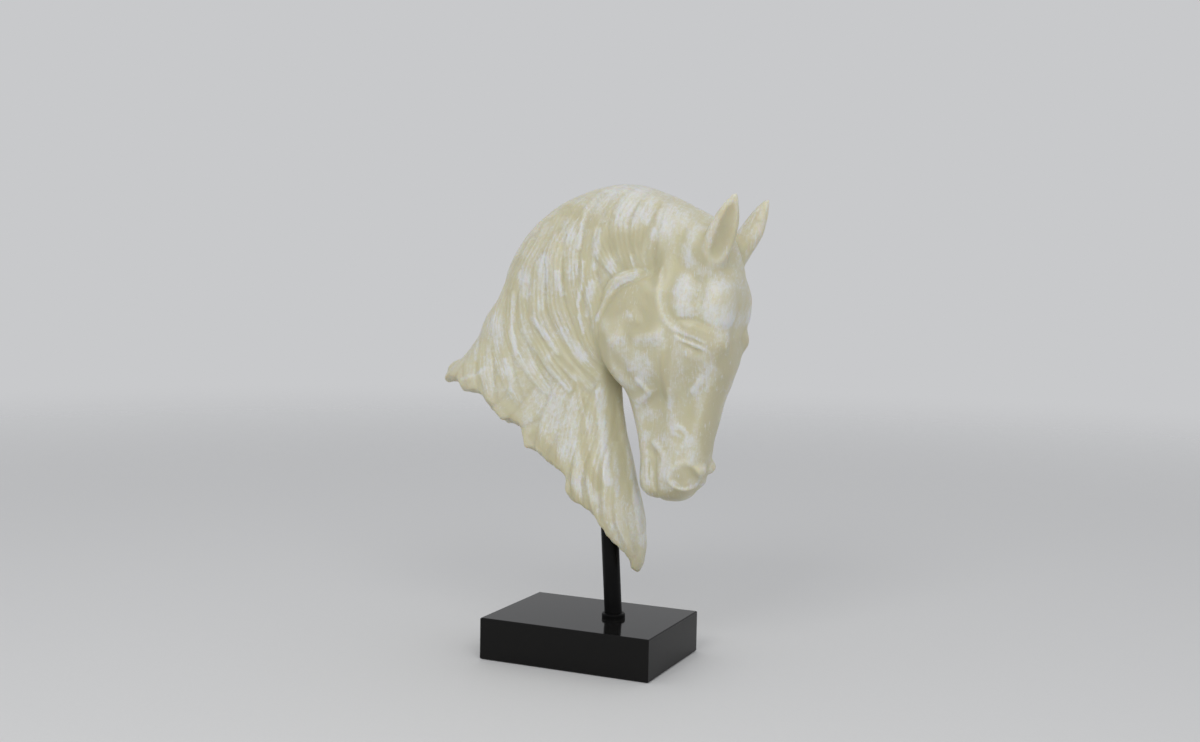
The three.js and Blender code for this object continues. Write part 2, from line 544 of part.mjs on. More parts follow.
// The flat parts get fewer and larger faces: edges are drawn together, the cheapest first, until
// the number of faces is reached. The cost is the sum of the squared distances from the new
// corner to the planes of the faces that it stands for, times the weight of its place.
function thinned({ positions, index }, faceCount, weightAt) {
  const points = [];
  for (let i = 0; i < positions.length; i += 3)
    points.push([positions[i], positions[i + 1], positions[i + 2]]);
  const faces = [];
  const facesOf = points.map(() => new Set());
  for (let i = 0; i < index.length; i += 3) {
    faces.push([index[i], index[i + 1], index[i + 2]]);
    for (const v of faces[faces.length - 1]) facesOf[v].add(faces.length - 1);
  }
  const minus = (a, b) => [a[0] - b[0], a[1] - b[1], a[2] - b[2]];
  const cross = (a, b) => [
    a[1] * b[2] - a[2] * b[1],
    a[2] * b[0] - a[0] * b[2],
    a[0] * b[1] - a[1] * b[0],
  ];
  const dot = (a, b) => a[0] * b[0] + a[1] * b[1] + a[2] * b[2];
  const normalOf = (a, b, c) => cross(minus(b, a), minus(c, a));
  const sums = points.map(() => new Float64Array(10));
  for (const [a, b, c] of faces) {
    const n = normalOf(points[a], points[b], points[c]);
    const size = Math.sqrt(dot(n, n)) + 1e-12;
    const u = n.map((v) => v / size);
    const w = -dot(u, points[a]);
    const k = size * weightAt(points[a]);
    const terms = [u[0] * u[0], u[0] * u[1], u[0] * u[2], u[0] * w, u[1] * u[1], u[1] * u[2],
      u[1] * w, u[2] * u[2], u[2] * w, w * w];
    for (const v of [a, b, c]) terms.forEach((t, i) => (sums[v][i] += k * t));
  }
  const costAt = (q, [x, y, z]) =>
    q[0] * x * x + 2 * q[1] * x * y + 2 * q[2] * x * z + 2 * q[3] * x + q[4] * y * y +
    2 * q[5] * y * z + 2 * q[6] * y + q[7] * z * z + 2 * q[8] * z + q[9];
  const best = (a, b) => {
    const q = sums[a].map((v, i) => v + sums[b][i]);
    const middle = points[a].map((v, i) => (v + points[b][i]) / 2);
    const options = [middle, points[a], points[b]];
    const m = [[q[0], q[1], q[2]], [q[1], q[4], q[5]], [q[2], q[5], q[7]]];
    const det = dot(m[0], cross(m[1], m[2]));
    if (Math.abs(det) > 1e-3 * (q[0] + q[4] + q[7]) ** 3) {
      const r = [-q[3], -q[6], -q[8]];
      const s1 = cross(m[1], m[2]);
      const s2 = cross(m[2], m[0]);
      const s3 = cross(m[0], m[1]);
      const p = [0, 1, 2].map((i) => (s1[i] * r[0] + s2[i] * r[1] + s3[i] * r[2]) / det);
      const d = minus(p, middle);
      const e = minus(points[a], points[b]);
      if (dot(d, d) < dot(e, e)) options.push(p);
    }
    const e = minus(points[a], points[b]);
    let found = null;
    for (const p of options) {
      const cost = costAt(q, p);
      if (!found || cost < found.cost) found = { cost, p };
    }
    found.cost += 1e-3 * dot(e, e) * weightAt(middle);
    return found;
  };
  const heap = [];
  const put = (item) => {
    let i = heap.length;
    heap.push(item);
    while (i > 0) {
      const up = (i - 1) >> 1;
      if (heap[up].cost <= item.cost) break;
      heap[i] = heap[up];
      i = up;
    }
    heap[i] = item;
  };
  const take = () => {
    const first = heap[0];
    const item = heap.pop();
    if (!heap.length) return first;
    let i = 0;
    for (;;) {
      let next = 2 * i + 1;
      if (next >= heap.length) break;
      if (next + 1 < heap.length && heap[next + 1].cost < heap[next].cost) next += 1;
      if (heap[next].cost >= item.cost) break;
      heap[i] = heap[next];
      i = next;
    }
    heap[i] = item;
    return first;
  };
  const age = points.map(() => 0);
  const offer = (a, b) => put({ ...best(a, b), a, b, ages: age[a] + age[b] });
  const neighbours = (v) => {
    const out = new Set();
    for (const f of facesOf[v]) for (const w of faces[f]) if (w !== v) out.add(w);
    return out;
  };
  points.forEach((p, a) => {
    for (const b of neighbours(a)) if (a < b) offer(a, b);
  });
  let left = faces.length;
  const keepsFaces = (v, other, p) => {
    for (const f of facesOf[v]) {
      const face = faces[f];
      if (face.includes(other)) continue;
      const before = normalOf(...face.map((w) => points[w]));
      const after = normalOf(...face.map((w) => (w === v ? p : points[w])));
      const sizes = Math.sqrt(dot(before, before) * dot(after, after));
      if (dot(before, after) < 0.3 * sizes || dot(after, after) < 0.04) return false;
    }
    return true;
  };
  while (left > faceCount && heap.length) {
    const { a, b, p, ages } = take();
    if (age[a] < 0 || age[b] < 0 || ages !== age[a] + age[b]) continue;
    const nextToB = neighbours(b);
    const shared = [...neighbours(a)].filter((v) => nextToB.has(v));
    if (shared.length !== 2 || !nextToB.has(a)) continue;
    if (!keepsFaces(a, b, p) || !keepsFaces(b, a, p)) continue;
    points[a] = p;
    sums[a] = sums[a].map((v, i) => v + sums[b][i]);
    for (const f of [...facesOf[b]]) {
      if (faces[f].includes(a)) {
        for (const v of faces[f]) facesOf[v].delete(f);
        faces[f] = null;
        left -= 1;
      } else {
        faces[f] = faces[f].map((v) => (v === b ? a : v));
        facesOf[a].add(f);
      }
    }
    age[b] = -1;
    age[a] += 1;
    const near = neighbours(a);
    for (const v of near) age[v] += 1;
    for (const v of near) {
      offer(a, v);
      for (const w of neighbours(v)) if (w !== a && (v < w || !near.has(w))) offer(v, w);
    }
  }
  const kept = new Map();
  const out = { positions: [], index: [] };
  for (const face of faces) {
    if (!face) continue;
    for (const v of face) {
      if (!kept.has(v)) {
        kept.set(v, kept.size);
        out.positions.push(...points[v]);
      }
      out.index.push(kept.get(v));
    }
  }
  return out;
}

const wasm = await Module();
wasm.setup();

// A closed three.js geometry as a solid, with its shared corners merged.
function solid(geometry) {
  geometry.deleteAttribute("normal");
  geometry.deleteAttribute("uv");
  const merged = mergeVertices(geometry, 1e-4);
  return new wasm.Manifold(
    new wasm.Mesh({
      numProp: 3,
      vertProperties: new Float32Array(merged.attributes.position.array),
      triVerts: new Uint32Array(merged.index.array),
    }),
  );
}

function geometryOf(made) {
  const mesh = made.getMesh();
  const positions = new Float32Array(mesh.numVert * 3);
  for (let i = 0; i < mesh.numVert; i += 1)
    positions.set(mesh.vertProperties.subarray(i * mesh.numProp, i * mesh.numProp + 3), i * 3);
  return new THREE.BufferGeometry()
    .setAttribute("position", new THREE.BufferAttribute(positions, 3))
    .setIndex(new THREE.BufferAttribute(new Uint32Array(mesh.triVerts), 1));
}

// A cylinder about the rod's axis between two distances from the rod's foot.
function aboutRod(radius, from, to, around) {
  const middle = rodFoot.clone().addScaledVector(rodAxis, (from + to) / 2);
  const turn = new THREE.Quaternion().setFromUnitVectors(new THREE.Vector3(0, 1, 0), rodAxis);
  return new THREE.CylinderGeometry(radius, radius, to - from, around, 1)
    .applyQuaternion(turn)
    .translate(middle.x, middle.y, middle.z);
}

// The block, with small bevels all round and a slanting bore for the rod's foot.
function makeBase() {
  const shape = new THREE.Shape();
  const l = baseLength / 2 - baseEdge;
  const w = baseWidth / 2 - baseEdge;
  shape.moveTo(-l, -w);
  shape.lineTo(l, -w);
  shape.lineTo(l, w);
  shape.lineTo(-l, w);
  shape.closePath();
  const block = new THREE.ExtrudeGeometry(shape, {
    depth: baseHeight - 2 * baseEdge,
    bevelEnabled: true,
    bevelThickness: baseEdge,
    bevelSize: baseEdge,
    bevelSegments: 1,
    steps: 1,
  }).translate(0, 0, baseEdge);
  const bore = aboutRod(boreRadius, -rodInBase - clearance, rodRadius, 48);
  return geometryOf(solid(block).subtract(solid(bore)));
}

// The collar: a low ring with a rounded upper edge that lies on the block round the rod.
function makeCollar() {
  const outer = boreRadius + collarWidth;
  const inner = boreRadius / 2;
  const profile = [new THREE.Vector2(inner, 0), new THREE.Vector2(outer, 0)];
  for (let i = 0; i <= 3; i += 1) {
    const a = (i / 3) * 90 * degree;
    profile.push(
      new THREE.Vector2(
        outer - collarRound + collarRound * Math.cos(a),
        collarHeight - collarRound + collarRound * Math.sin(a),
      ),
    );
  }
  profile.push(new THREE.Vector2(inner, collarHeight), new THREE.Vector2(inner, 0));
  const ring = new THREE.LatheGeometry(profile, 28)
    .rotateX(Math.PI / 2)
    .translate(rodFoot.x, rodFoot.y, baseHeight);
  const bore = aboutRod(boreRadius, -rodRadius, collarHeight + rodRadius, 28);
  return geometryOf(solid(ring).subtract(solid(bore)));
}

function freeForm(positions, index) {
  return new THREE.BufferGeometry()
    .setAttribute("position", new THREE.Float32BufferAttribute(positions, 3))
    .setIndex(index.slice());
}

// From the drawn height and place to the real ones: the drawn entry comes to the rod's entry.
function placed(drawn) {
  return drawn
    .translate(-drawnEntry.x, -drawnEntry.y, -drawnEntry.z)
    .scale(headScale, headScale, headScale)
    .translate(rodEntry.x, rodEntry.y, rodEntry.z);
}

// The head, scaled about the place where the rod enters it, with the rod's socket.
function makeHead() {
  const xs = gridLines(-162, [[155, 4.4]]);
  const ys = gridLines(-60, [[60, 4.4]]);
  const zs = gridLines(74, [[441, 4.4]]);
  const leafAcross = gridLines(-16, [[16, 2.4]]);
  const leafOutward = gridLines(-13, [[13, 2]]);
  const leafAlong = gridLines(-29, [[earLength + 9, 3]]);
  const faceWeight = ([x, , z]) => 1 + 3 * step(40, 80, x) * step(130, 170, z);
  const { positions, index } = thinned(surfaceOf(form, xs, ys, zs), 7700, faceWeight);
  const leaf = thinned(surfaceOf(ear, leafAcross, leafOutward, leafAlong), 560, () => 1);
  const upright = new THREE.Matrix4().makeBasis(earAcross, earOpens, earAxis).setPosition(earBase);
  const farEar = freeForm(leaf.positions, leaf.index).applyMatrix4(upright);
  const turned = leaf.index.slice().reverse();
  const nearEar = freeForm(leaf.positions, turned).applyMatrix4(upright).scale(1, -1, 1);
  const socket = aboutRod(boreRadius, collarHeight + rodRadius, rodFree + rodInHead + clearance, 32);
  return geometryOf(
    [freeForm(positions, index), farEar, nearEar]
      .map((drawn) => solid(placed(drawn)))
      .reduce((a, b) => a.add(b))
      .subtract(solid(socket)),
  );
}

function piece(name, geometry, material) {
  const mesh = new THREE.Mesh(geometry, material);
  mesh.name = name;
  return mesh;
}

const sculpture = new THREE.Group();
sculpture.add(piece("base", makeBase(), gloss));
sculpture.add(piece("collar", makeCollar(), satin));
sculpture.add(piece("rod", aboutRod(rodRadius, -rodInBase, rodFree + rodInHead, 48), satin));
sculpture.add(piece("horse_head", makeHead(), resin));

export default sculpture;
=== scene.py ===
# %% [markdown]
# # A horse head cast in pale resin, on a black rod and block
#
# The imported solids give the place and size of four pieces: the head, the rod, the thin collar
# at its foot and the block. This file gives them their looks. The head is drawn again as one
# distance field, like the one that the solid comes from, with finer carving in it, and meshed
# with small cells. The rod is drawn again with a smooth round face. The block and the collar
# keep their solids. The materials are written as plain sums on the shader's inputs.

import bpy
import numpy as np
from mathutils import Matrix, Vector


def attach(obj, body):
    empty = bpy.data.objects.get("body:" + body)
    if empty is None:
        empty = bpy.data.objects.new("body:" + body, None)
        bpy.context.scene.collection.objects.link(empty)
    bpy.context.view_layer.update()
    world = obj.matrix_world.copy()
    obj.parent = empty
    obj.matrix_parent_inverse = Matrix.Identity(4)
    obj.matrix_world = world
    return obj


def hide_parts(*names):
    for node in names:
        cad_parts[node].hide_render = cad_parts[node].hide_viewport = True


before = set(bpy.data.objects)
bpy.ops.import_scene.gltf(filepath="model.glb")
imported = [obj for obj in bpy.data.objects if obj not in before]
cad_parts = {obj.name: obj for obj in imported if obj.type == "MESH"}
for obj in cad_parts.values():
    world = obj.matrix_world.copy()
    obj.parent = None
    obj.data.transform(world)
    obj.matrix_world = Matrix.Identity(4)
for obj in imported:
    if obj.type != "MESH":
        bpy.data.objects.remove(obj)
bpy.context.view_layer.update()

# %% [markdown]
# The camera stands where the photograph was taken from. It could be set by eye, but straight
# edges and right angles fix it better, so it was worked out from the block's seven visible
# corners, with the block taken as 38 mm thick. Its frame is 1200 by 742 pixels and its focal
# length is 1403.6 pixels.

# %% Make the camera
AZIMUTH = np.radians(24.09)
ELEVATION = np.radians(3.98)
ROLL = np.radians(1.04)
DISTANCE = 1.2842
TARGET = np.array([0.00762, 0.00820, 0.26295])
FOCAL_PIXELS = 1403.6
FRAME_WIDTH = 1200

back = np.array(
    [np.sin(AZIMUTH) * np.cos(ELEVATION), -np.cos(AZIMUTH) * np.cos(ELEVATION), np.sin(ELEVATION)]
)
level = np.array([np.cos(AZIMUTH), np.sin(AZIMUTH), 0.0])
upright = np.cross(back, level)
right = level * np.cos(ROLL) + upright * np.sin(ROLL)
up = upright * np.cos(ROLL) - level * np.sin(ROLL)
camera_data = bpy.data.cameras.new("camera")
camera_data.sensor_width = 36
camera_data.lens = 36 * FOCAL_PIXELS / FRAME_WIDTH
camera_data.shift_x = -6 / FRAME_WIDTH
camera_data.clip_end = 50
camera = bpy.data.objects.new("camera", camera_data)
camera.matrix_world = Matrix(
    [[*row, place] for row, place in zip(np.stack([right, up, back], 1), TARGET + back * DISTANCE)]
    + [[0, 0, 0, 1]]
)
bpy.context.scene.collection.objects.link(camera)
bpy.context.scene.camera = camera
print("camera at", tuple(round(v, 3) for v in camera.location))

# %% [markdown]
# ## Sums that work on whole arrays
#
# A carved head has no flat faces, and its parts run into each other without seams. It could be
# sculpted by hand, but here every form is a number at each point of space: how far the point is
# outside the form, negative inside. Two forms are joined by taking the smaller number, and a
# fillet between them costs one more term. All of the sums take whole arrays, so a million
# points cost one call.


# %% Curves, steps and joins
def through(x, stations, values):
    """A smooth curve through stations: cubic between two, with the slope its neighbours give."""
    xs = np.asarray(stations, float)
    ys = np.asarray(values, float)
    slope = np.empty(len(xs))
    slope[1:-1] = (ys[2:] - ys[:-2]) / (xs[2:] - xs[:-2])
    slope[0] = (ys[1] - ys[0]) / (xs[1] - xs[0])
    slope[-1] = (ys[-1] - ys[-2]) / (xs[-1] - xs[-2])
    x = np.clip(x, xs[0], xs[-1])
    i = np.clip(np.searchsorted(xs, x, side="right") - 1, 0, len(xs) - 2)
    h = xs[i + 1] - xs[i]
    t = (x - xs[i]) / h
    t2 = t * t
    t3 = t2 * t
    start = (2 * t3 - 3 * t2 + 1) * ys[i] + (t3 - 2 * t2 + t) * h * slope[i]
    end = (3 * t2 - 2 * t3) * ys[i + 1] + (t3 - t2) * h * slope[i + 1]
    return start + end


def step(a, b, x):
    """0 at a, 1 at b and S-shaped between: three times the square less twice the cube."""
    t = np.clip((x - a) / (b - a), 0, 1)
    return t * t * (3 - 2 * t)


def join(a, b, k):
    """The smaller of two distances, less a quarter of k where they are equal: a fillet."""
    h = np.maximum(k - np.abs(a - b), 0) / k
    return np.minimum(a, b) - h * h * k / 4


def carve(a, b, k):
    """Form a with form b cut out of it, the edge rounded over k."""
    return -join(-a, b, k)


def edge(inside, radius):
    """How far into a plate's rounded edge a point is: 0 inside, 1 on the edge."""
    return np.maximum(0, 1 - inside / radius)


def ellipse(u):
    """A quarter ellipse: 0 at 0 and 1 at 1, steep at first."""
    t = 1 - np.clip(u, 0, 1)
    return np.sqrt(np.maximum(1 - t * t, 0))


def ball(p, centre, radii):
    """A nearly true distance to an ellipsoid: its scaled radius less 1, times the least radius."""
    q = sum(((a - c) / r) ** 2 for a, c, r in zip(p, centre, radii))
    return (np.sqrt(q) - 1) * min(radii)


def curve_through(points, count):
    """Count points along a smooth curve through a few."""
    p = np.asarray(points, float)
    along = np.concatenate([[0], np.cumsum(np.hypot(*np.diff(p, axis=0).T))])
    t = np.linspace(0, along[-1], count)
    return np.stack([through(t, along, p[:, 0]), through(t, along, p[:, 1])], 1)


def to_chain(u, v, chain):
    """Distance to a chain of points, the share of its length there, and the side: -1 or 1."""
    chain = np.asarray(chain, float)
    length = np.hypot(*np.diff(chain, axis=0).T)
    share_at = np.concatenate([[0], np.cumsum(length)]) / length.sum()
    best = np.full(u.shape, 1e9)
    share = np.zeros(u.shape)
    side = np.ones(u.shape)
    for i in range(len(length)):
        ex, ey = (chain[i + 1] - chain[i]) / length[i]
        pu = u - chain[i, 0]
        pv = v - chain[i, 1]
        t = np.clip(pu * ex + pv * ey, 0, length[i])
        du = pu - t * ex
        dv = pv - t * ey
        dist = np.hypot(du, dv)
        nearer = dist < best
        best = np.where(nearer, dist, best)
        share = np.where(nearer, share_at[i] + t / length[i] * np.diff(share_at)[i], share)
        side = np.where(nearer, np.where(ex * dv - ey * du < 0, -1.0, 1.0), side)
    return best, share, side


def near_chain(u, v, chain, reach):
    """Which points are in the chain's own box, grown by reach."""
    low = np.min(chain, 0) - reach
    high = np.max(chain, 0) + reach
    return (u > low[0]) & (u < high[0]) & (v > low[1]) & (v < high[1])


print("two equal distances joined over 8 mm give", join(0.0, 0.0, 8.0), "mm")

# %% [markdown]
# ## The neck
#
# The neck arches back from the poll and breaks off below in a ragged edge, as if it were torn
# from a whole statue. It could be lofted through cross-sections, but what the eye reads is its
# outline from the side. So it is a plate between three lines: the arched crest, the front, and
# the broken lower edge, which is near a circle round a point low behind the horse. It is
# thickest in the middle of its height and thins to the crest and the front.

# %% Draw the neck
PIVOT = (20.0, 255.0)
CREST_ANGLES = [
    -90, -20, 20, 40, 58, 66, 73, 80, 88, 96, 106, 119,
    130, 136, 141, 147, 151, 156, 165, 173, 180, 190, 205,
]
CREST_RADII = [
    400, 300, 190, 158, 167, 171.3, 175.5, 178, 178.2, 175.2, 171, 163.5,
    154.5, 148.5, 142.5, 139.3, 139.8, 142, 144, 154.5, 173, 196, 230,
]
CUT_CENTRE = (-192.0, 1.0)
CUT_ANGLES = [
    16, 18, 19.9, 21.2, 24, 27, 29.5, 32, 34, 36, 38, 39.5,
    41, 43, 44.5, 46.5, 48.5, 51.5, 54, 56, 57.5, 59, 60.5, 62,
    64, 67, 69, 71, 73, 75.5, 77, 78.5, 80, 82,
]
CUT_RADII = [
    257, 252.8, 250, 250.8, 251.8, 247, 248, 246.5, 244.8, 241, 236, 235,
    235.2, 242, 241.7, 240.2, 238, 236, 233, 239.4, 244, 243, 241.5, 239.7,
    242.6, 246.5, 250.5, 250, 248.5, 253, 251.5, 250.5, 249, 254,
]
FRONT_HEIGHTS = [60, 85, 91, 108, 131, 166, 190, 211, 245, 275, 310, 350, 400, 440]
FRONT_LINE = [45, 49.5, 51.5, 53, 50.3, 42, 36.3, 31.8, 28.3, 30.5, 50, 80, 112, 130]
THROAT = (45, 300)
THROAT_HALF = 29
NECK_HALF = 47
CREST_TAPER = 95
FRONT_TAPER = 42


def neck(x, y, z):
    """The plate's distance, and how far a point is inside the cut edge and the crest."""
    dx = x - PIVOT[0]
    dz = z - PIVOT[1]
    angle = np.degrees(np.arctan2(dz, dx))
    angle = np.where(angle < -90, angle + 360, angle)
    to_crest = through(angle, CREST_ANGLES, CREST_RADII) - np.hypot(dx, dz)
    cx = x - CUT_CENTRE[0]
    cz = z - CUT_CENTRE[1]
    # The break is ragged: waves of three sizes move its edge in and out
    ragged = 1.5 * np.sin(0.13 * x + 0.09 * y + 1) * np.sin(0.11 * z - 0.12 * y + 2)
    ragged += 0.7 * np.sin(0.29 * x + 0.9) * np.sin(0.21 * y + 0.17 * z)
    ragged += 0.6 * np.sin(0.47 * x - 0.31 * z) * np.sin(0.38 * y + 0.9)
    around = np.degrees(np.arctan2(cz, cx))
    to_cut = np.hypot(cx, cz) - through(around, CUT_ANGLES, CUT_RADII) + ragged
    to_front = through(z, FRONT_HEIGHTS, FRONT_LINE) - x
    # Half the thickness grows away from the throat and tapers to the crest, front and tip
    from_throat = np.hypot(x - THROAT[0], z - THROAT[1])
    half = THROAT_HALF + (NECK_HALF - THROAT_HALF) * step(30, 190, from_throat)
    half = half * np.maximum(ellipse(to_crest / CREST_TAPER) ** 0.9, 0.16)
    half = half * np.maximum(ellipse(to_front / FRONT_TAPER), 0.35)
    half = half * through(z, [80, 95, 120, 160, 200], [0.45, 0.6, 0.8, 0.97, 1])
    full = step(95, 190, z)
    q = (y / half) ** 2 + edge(to_crest, 9) ** 2
    q += edge(to_front, 4 + 9 * full) ** 2 + edge(to_cut, 4 + 7 * full) ** 2
    return (np.sqrt(q) - 1) * np.minimum(half, 24), to_cut, to_crest


print("neck from", len(CREST_RADII), "stations of the crest and", len(CUT_RADII), "of the break")

# %% [markdown]
# ## The white paint
#
# White paint was brushed over the resin and stays on raised places in short strokes. Each
# stroke here is a line in side view with a half width and a strength. The narrow ones lie on
# thin ridges, so they also raise the mane a little. The wipes are places of the same kind
# where the paint came off again and the clear resin shows. Noise alone could scatter the
# paint, but the eye knows this piece by where its white lies, so the strokes are laid one by
# one, and noise only frays their edges.

# %% Lay the strokes of paint
STROKES = [
    ([(-56, 262), (-41, 246), (-21, 236), (-7, 221)], 15, 0.7),
    ([(-68, 240), (-47, 226), (-29, 215)], 10, 0.5),
    ([(99, 341), (114, 326), (134, 316)], 9, 0.7),
    ([(111, 348), (118, 332)], 6, 0.55),
    ([(101, 268), (111, 258), (102, 244)], 5, 0.4),
    ([(87, 214), (99, 209), (101, 200), (92, 197)], 1.5, 0.8),
    ([(49, 268), (61, 271), (70, 265), (70, 251), (54, 239)], 1.3, 0.7),
    ([(60, 196), (66, 177)], 1.4, 0.6),
    ([(30, 426), (14, 420), (4, 409)], 5.3, 0.8),
    ([(46, 421), (40, 415), (39, 405), (45, 400)], 9.2, 0.8),
    ([(1, 406), (-1, 390), (-4, 375)], 1.8, 0.8),
    ([(15, 390), (13, 375), (12, 358)], 3.4, 0.8),
    ([(-17, 394), (-9, 378)], 6.9, 0.7),
    ([(-11, 368), (-9, 352)], 7.6, 0.8),
    ([(0, 363), (0, 346), (-4, 322), (2, 300)], 1.7, 1.0),
    ([(-37, 363), (-36, 324)], 5.8, 1.0),
    ([(-58, 351), (-55, 334)], 6.1, 0.9),
    ([(-24, 351), (-18, 334)], 3.1, 0.9),
    ([(33, 364), (26, 355), (17, 348)], 4.6, 0.8),
    ([(48, 367), (52, 353)], 2.1, 0.8),
    ([(53, 350), (38, 342), (25, 333), (16, 312)], 2.6, 1.0),
    ([(9, 343), (5, 316)], 3.8, 0.9),
    ([(-69, 332), (-68, 299), (-63, 278)], 2.1, 0.9),
    ([(-59, 309), (-52, 285), (-45, 270)], 4.6, 0.6),
    ([(-46, 309), (-32, 293), (-22, 281)], 2.7, 0.8),
    ([(-17, 299), (-9, 289), (1, 278)], 4.3, 0.9),
    ([(-87, 305), (-87, 289), (-89, 274)], 6.9, 0.6),
    ([(-109, 284), (-107, 273)], 2.7, 0.6),
    ([(-118, 253), (-104, 257), (-94, 264)], 2.1, 0.8),
    ([(-74, 272), (-68, 257), (-65, 244)], 1.8, 0.9),
    ([(-28, 277), (-16, 265), (-7, 256)], 3.8, 0.7),
    ([(-32, 258), (-21, 250), (-6, 248)], 9.2, 0.7),
    ([(-20, 238), (-9, 224), (-16, 215)], 13.7, 0.8),
    ([(-46, 260), (-43, 240), (-35, 220)], 6.1, 0.6),
    ([(-6, 200), (-6, 189)], 8.4, 0.9),
    ([(15, 247), (18, 221), (23, 193), (30, 167)], 3.0, 0.9),
    ([(28, 201), (33, 172), (36, 154)], 1.3, 0.8),
    ([(35, 198), (41, 172), (46, 149), (50, 121)], 1.3, 0.7),
    ([(21, 152), (24, 143)], 4.6, 0.6),
    ([(36, 128), (41, 109)], 3.8, 0.6),
    ([(47, 138), (50, 111)], 3.4, 0.5),
    ([(5, 169), (10, 159)], 6.1, 0.5),
    ([(-6, 261), (-1, 245), (8, 214)], 1.2, 0.7),
    ([(-54, 237), (-47, 210)], 3.8, 0.5),
    ([(42, 415), (56, 411), (65, 401)], 9.2, 0.8),
    ([(67, 390), (62, 372), (63, 353)], 3.8, 1.0),
    ([(74, 403), (88, 392), (101, 386)], 12.2, 0.5),
    ([(77, 357), (80, 340), (85, 320), (100, 304), (111, 294)], 2.0, 0.6),
    ([(106, 346), (111, 332)], 9.2, 0.6),
    ([(100, 324), (106, 312)], 4.6, 0.7),
    ([(126, 350), (131, 341)], 6.1, 0.7),
    ([(122, 320), (133, 316), (135, 304)], 6.9, 0.6),
    ([(107, 301), (122, 295)], 1.2, 0.8),
    ([(113, 293), (124, 287)], 1.2, 0.7),
    ([(51, 315), (52, 314)], 3.4, 0.8),
    ([(35, 294), (47, 293)], 3.8, 0.7),
    ([(61, 294), (76, 296), (84, 293)], 5.3, 0.8),
    ([(62, 278), (69, 269), (64, 259)], 6.9, 0.8),
    ([(96, 376), (103, 363)], 5.3, 0.8),
    ([(79, 399), (88, 384), (89, 369)], 6, 0.6),
    ([(124, 270), (119, 261)], 4.6, 0.6),
    ([(87, 253), (84, 237)], 1.8, 1.0),
    ([(116, 264), (107, 252)], 3.8, 0.7),
    ([(53, 240), (62, 245), (72, 253)], 1.8, 0.8),
    ([(56, 231), (63, 230)], 7.6, 0.7),
    ([(61, 208), (68, 202), (81, 207)], 6.1, 0.8),
    ([(86, 218), (94, 220), (100, 212), (96, 203)], 2.1, 0.9),
    ([(105, 207), (106, 191)], 4.6, 0.6),
    ([(89, 172), (97, 166), (107, 168)], 1.7, 1.0),
    ([(60, 188), (62, 167)], 2.1, 0.7),
    ([(68, 176), (69, 162)], 1.8, 0.7),
    ([(82, 196), (83, 179)], 5.3, 0.5),
]

WIPES = [
    ([(31, 325), (52, 333), (64, 319), (60, 304)], 13, 1.0),
    ([(21, 293), (24, 265), (28, 251)], 8, 1.0),
    ([(52, 385), (67, 371), (73, 351)], 9, 0.9),
    ([(26, 378), (41, 381), (45, 362)], 8, 0.8),
    ([(87, 291), (84, 268), (83, 247)], 5, 0.9),
    ([(139, 300), (130, 268), (122, 244), (115, 217), (112, 199)], 6.5, 0.8),
    ([(113, 303), (127, 295), (129, 282)], 6, 0.6),
    ([(95, 177), (103, 180)], 6, 0.7),
    ([(80, 158), (103, 162)], 4, 0.6),
    ([(102, 310), (114, 307), (134, 301)], 4, 0.9),
    ([(67, 159), (84, 157), (100, 164)], 5, 0.9),
    ([(31, 248), (34, 230), (36, 214)], 7, 0.9),
    ([(-22, 274), (-12, 264)], 6, 0.9),
    ([(-41, 206), (-24, 190), (-14, 174)], 6, 0.8),
    ([(-74, 237), (-60, 222)], 6, 0.8),
    ([(-1, 156), (16, 146)], 5, 0.8),
    ([(-2, 252), (3, 226), (5, 204), (12, 182), (22, 163)], 3.6, 1.1),
    ([(21, 252), (27, 210), (31, 173)], 2.0, 0.8),
    ([(-21, 407), (-7, 406), (8, 397)], 7, 0.7),
    ([(-65, 361), (-73, 335)], 6, 0.7),
    ([(141, 402), (138, 382)], 8, 0.6),
    ([(113, 386), (110, 374), (116, 364)], 5, 0.9),
    ([(67, 412), (66, 395)], 3, 0.7),
]
WIPE_WEIGHT = 0.8
RIDGE_HALF = 4
RIDGES = [stroke for stroke in STROKES if stroke[1] < RIDGE_HALF]


def paint_at(x, z, strokes):
    """The strongest stroke at a place: its strength, falling off over its half width."""
    paint = np.zeros(x.shape)
    for points, half, strength in strokes:
        chain = curve_through(points, 6) if len(points) > 2 else np.array(points, float)
        m = near_chain(x, z, chain, 1.7 * half)
        if m.any():
            dist, _, _ = to_chain(x[m], z[m], chain)
            paint[m] = np.maximum(paint[m], strength * step(1.6, 0.5, dist / half))
    return paint


def cover_at(x, z):
    """The strokes of paint less the wipes."""
    return paint_at(x, z, STROKES) - WIPE_WEIGHT * paint_at(x, z, WIPES)


print("strokes", len(STROKES), "and wipes", len(WIPES), "with", len(RIDGES), "of the strokes on ridges")

# %% [markdown]
# ## The mane
#
# The mane is carved as long S-shaped locks that hang close to the neck. Bevelled curves would
# lie on it like ropes, so the locks are a height that is added to the neck's own surface. Each
# is a smooth line in side view with a half width and a height, and across it the height is a
# flat arch. Where two locks meet the higher one wins, which leaves a groove. Fine strands run
# along each lock.
#
# The locks only depend on x and z, so they are drawn once into a fine map for each side, and
# the field then reads the map between its points.

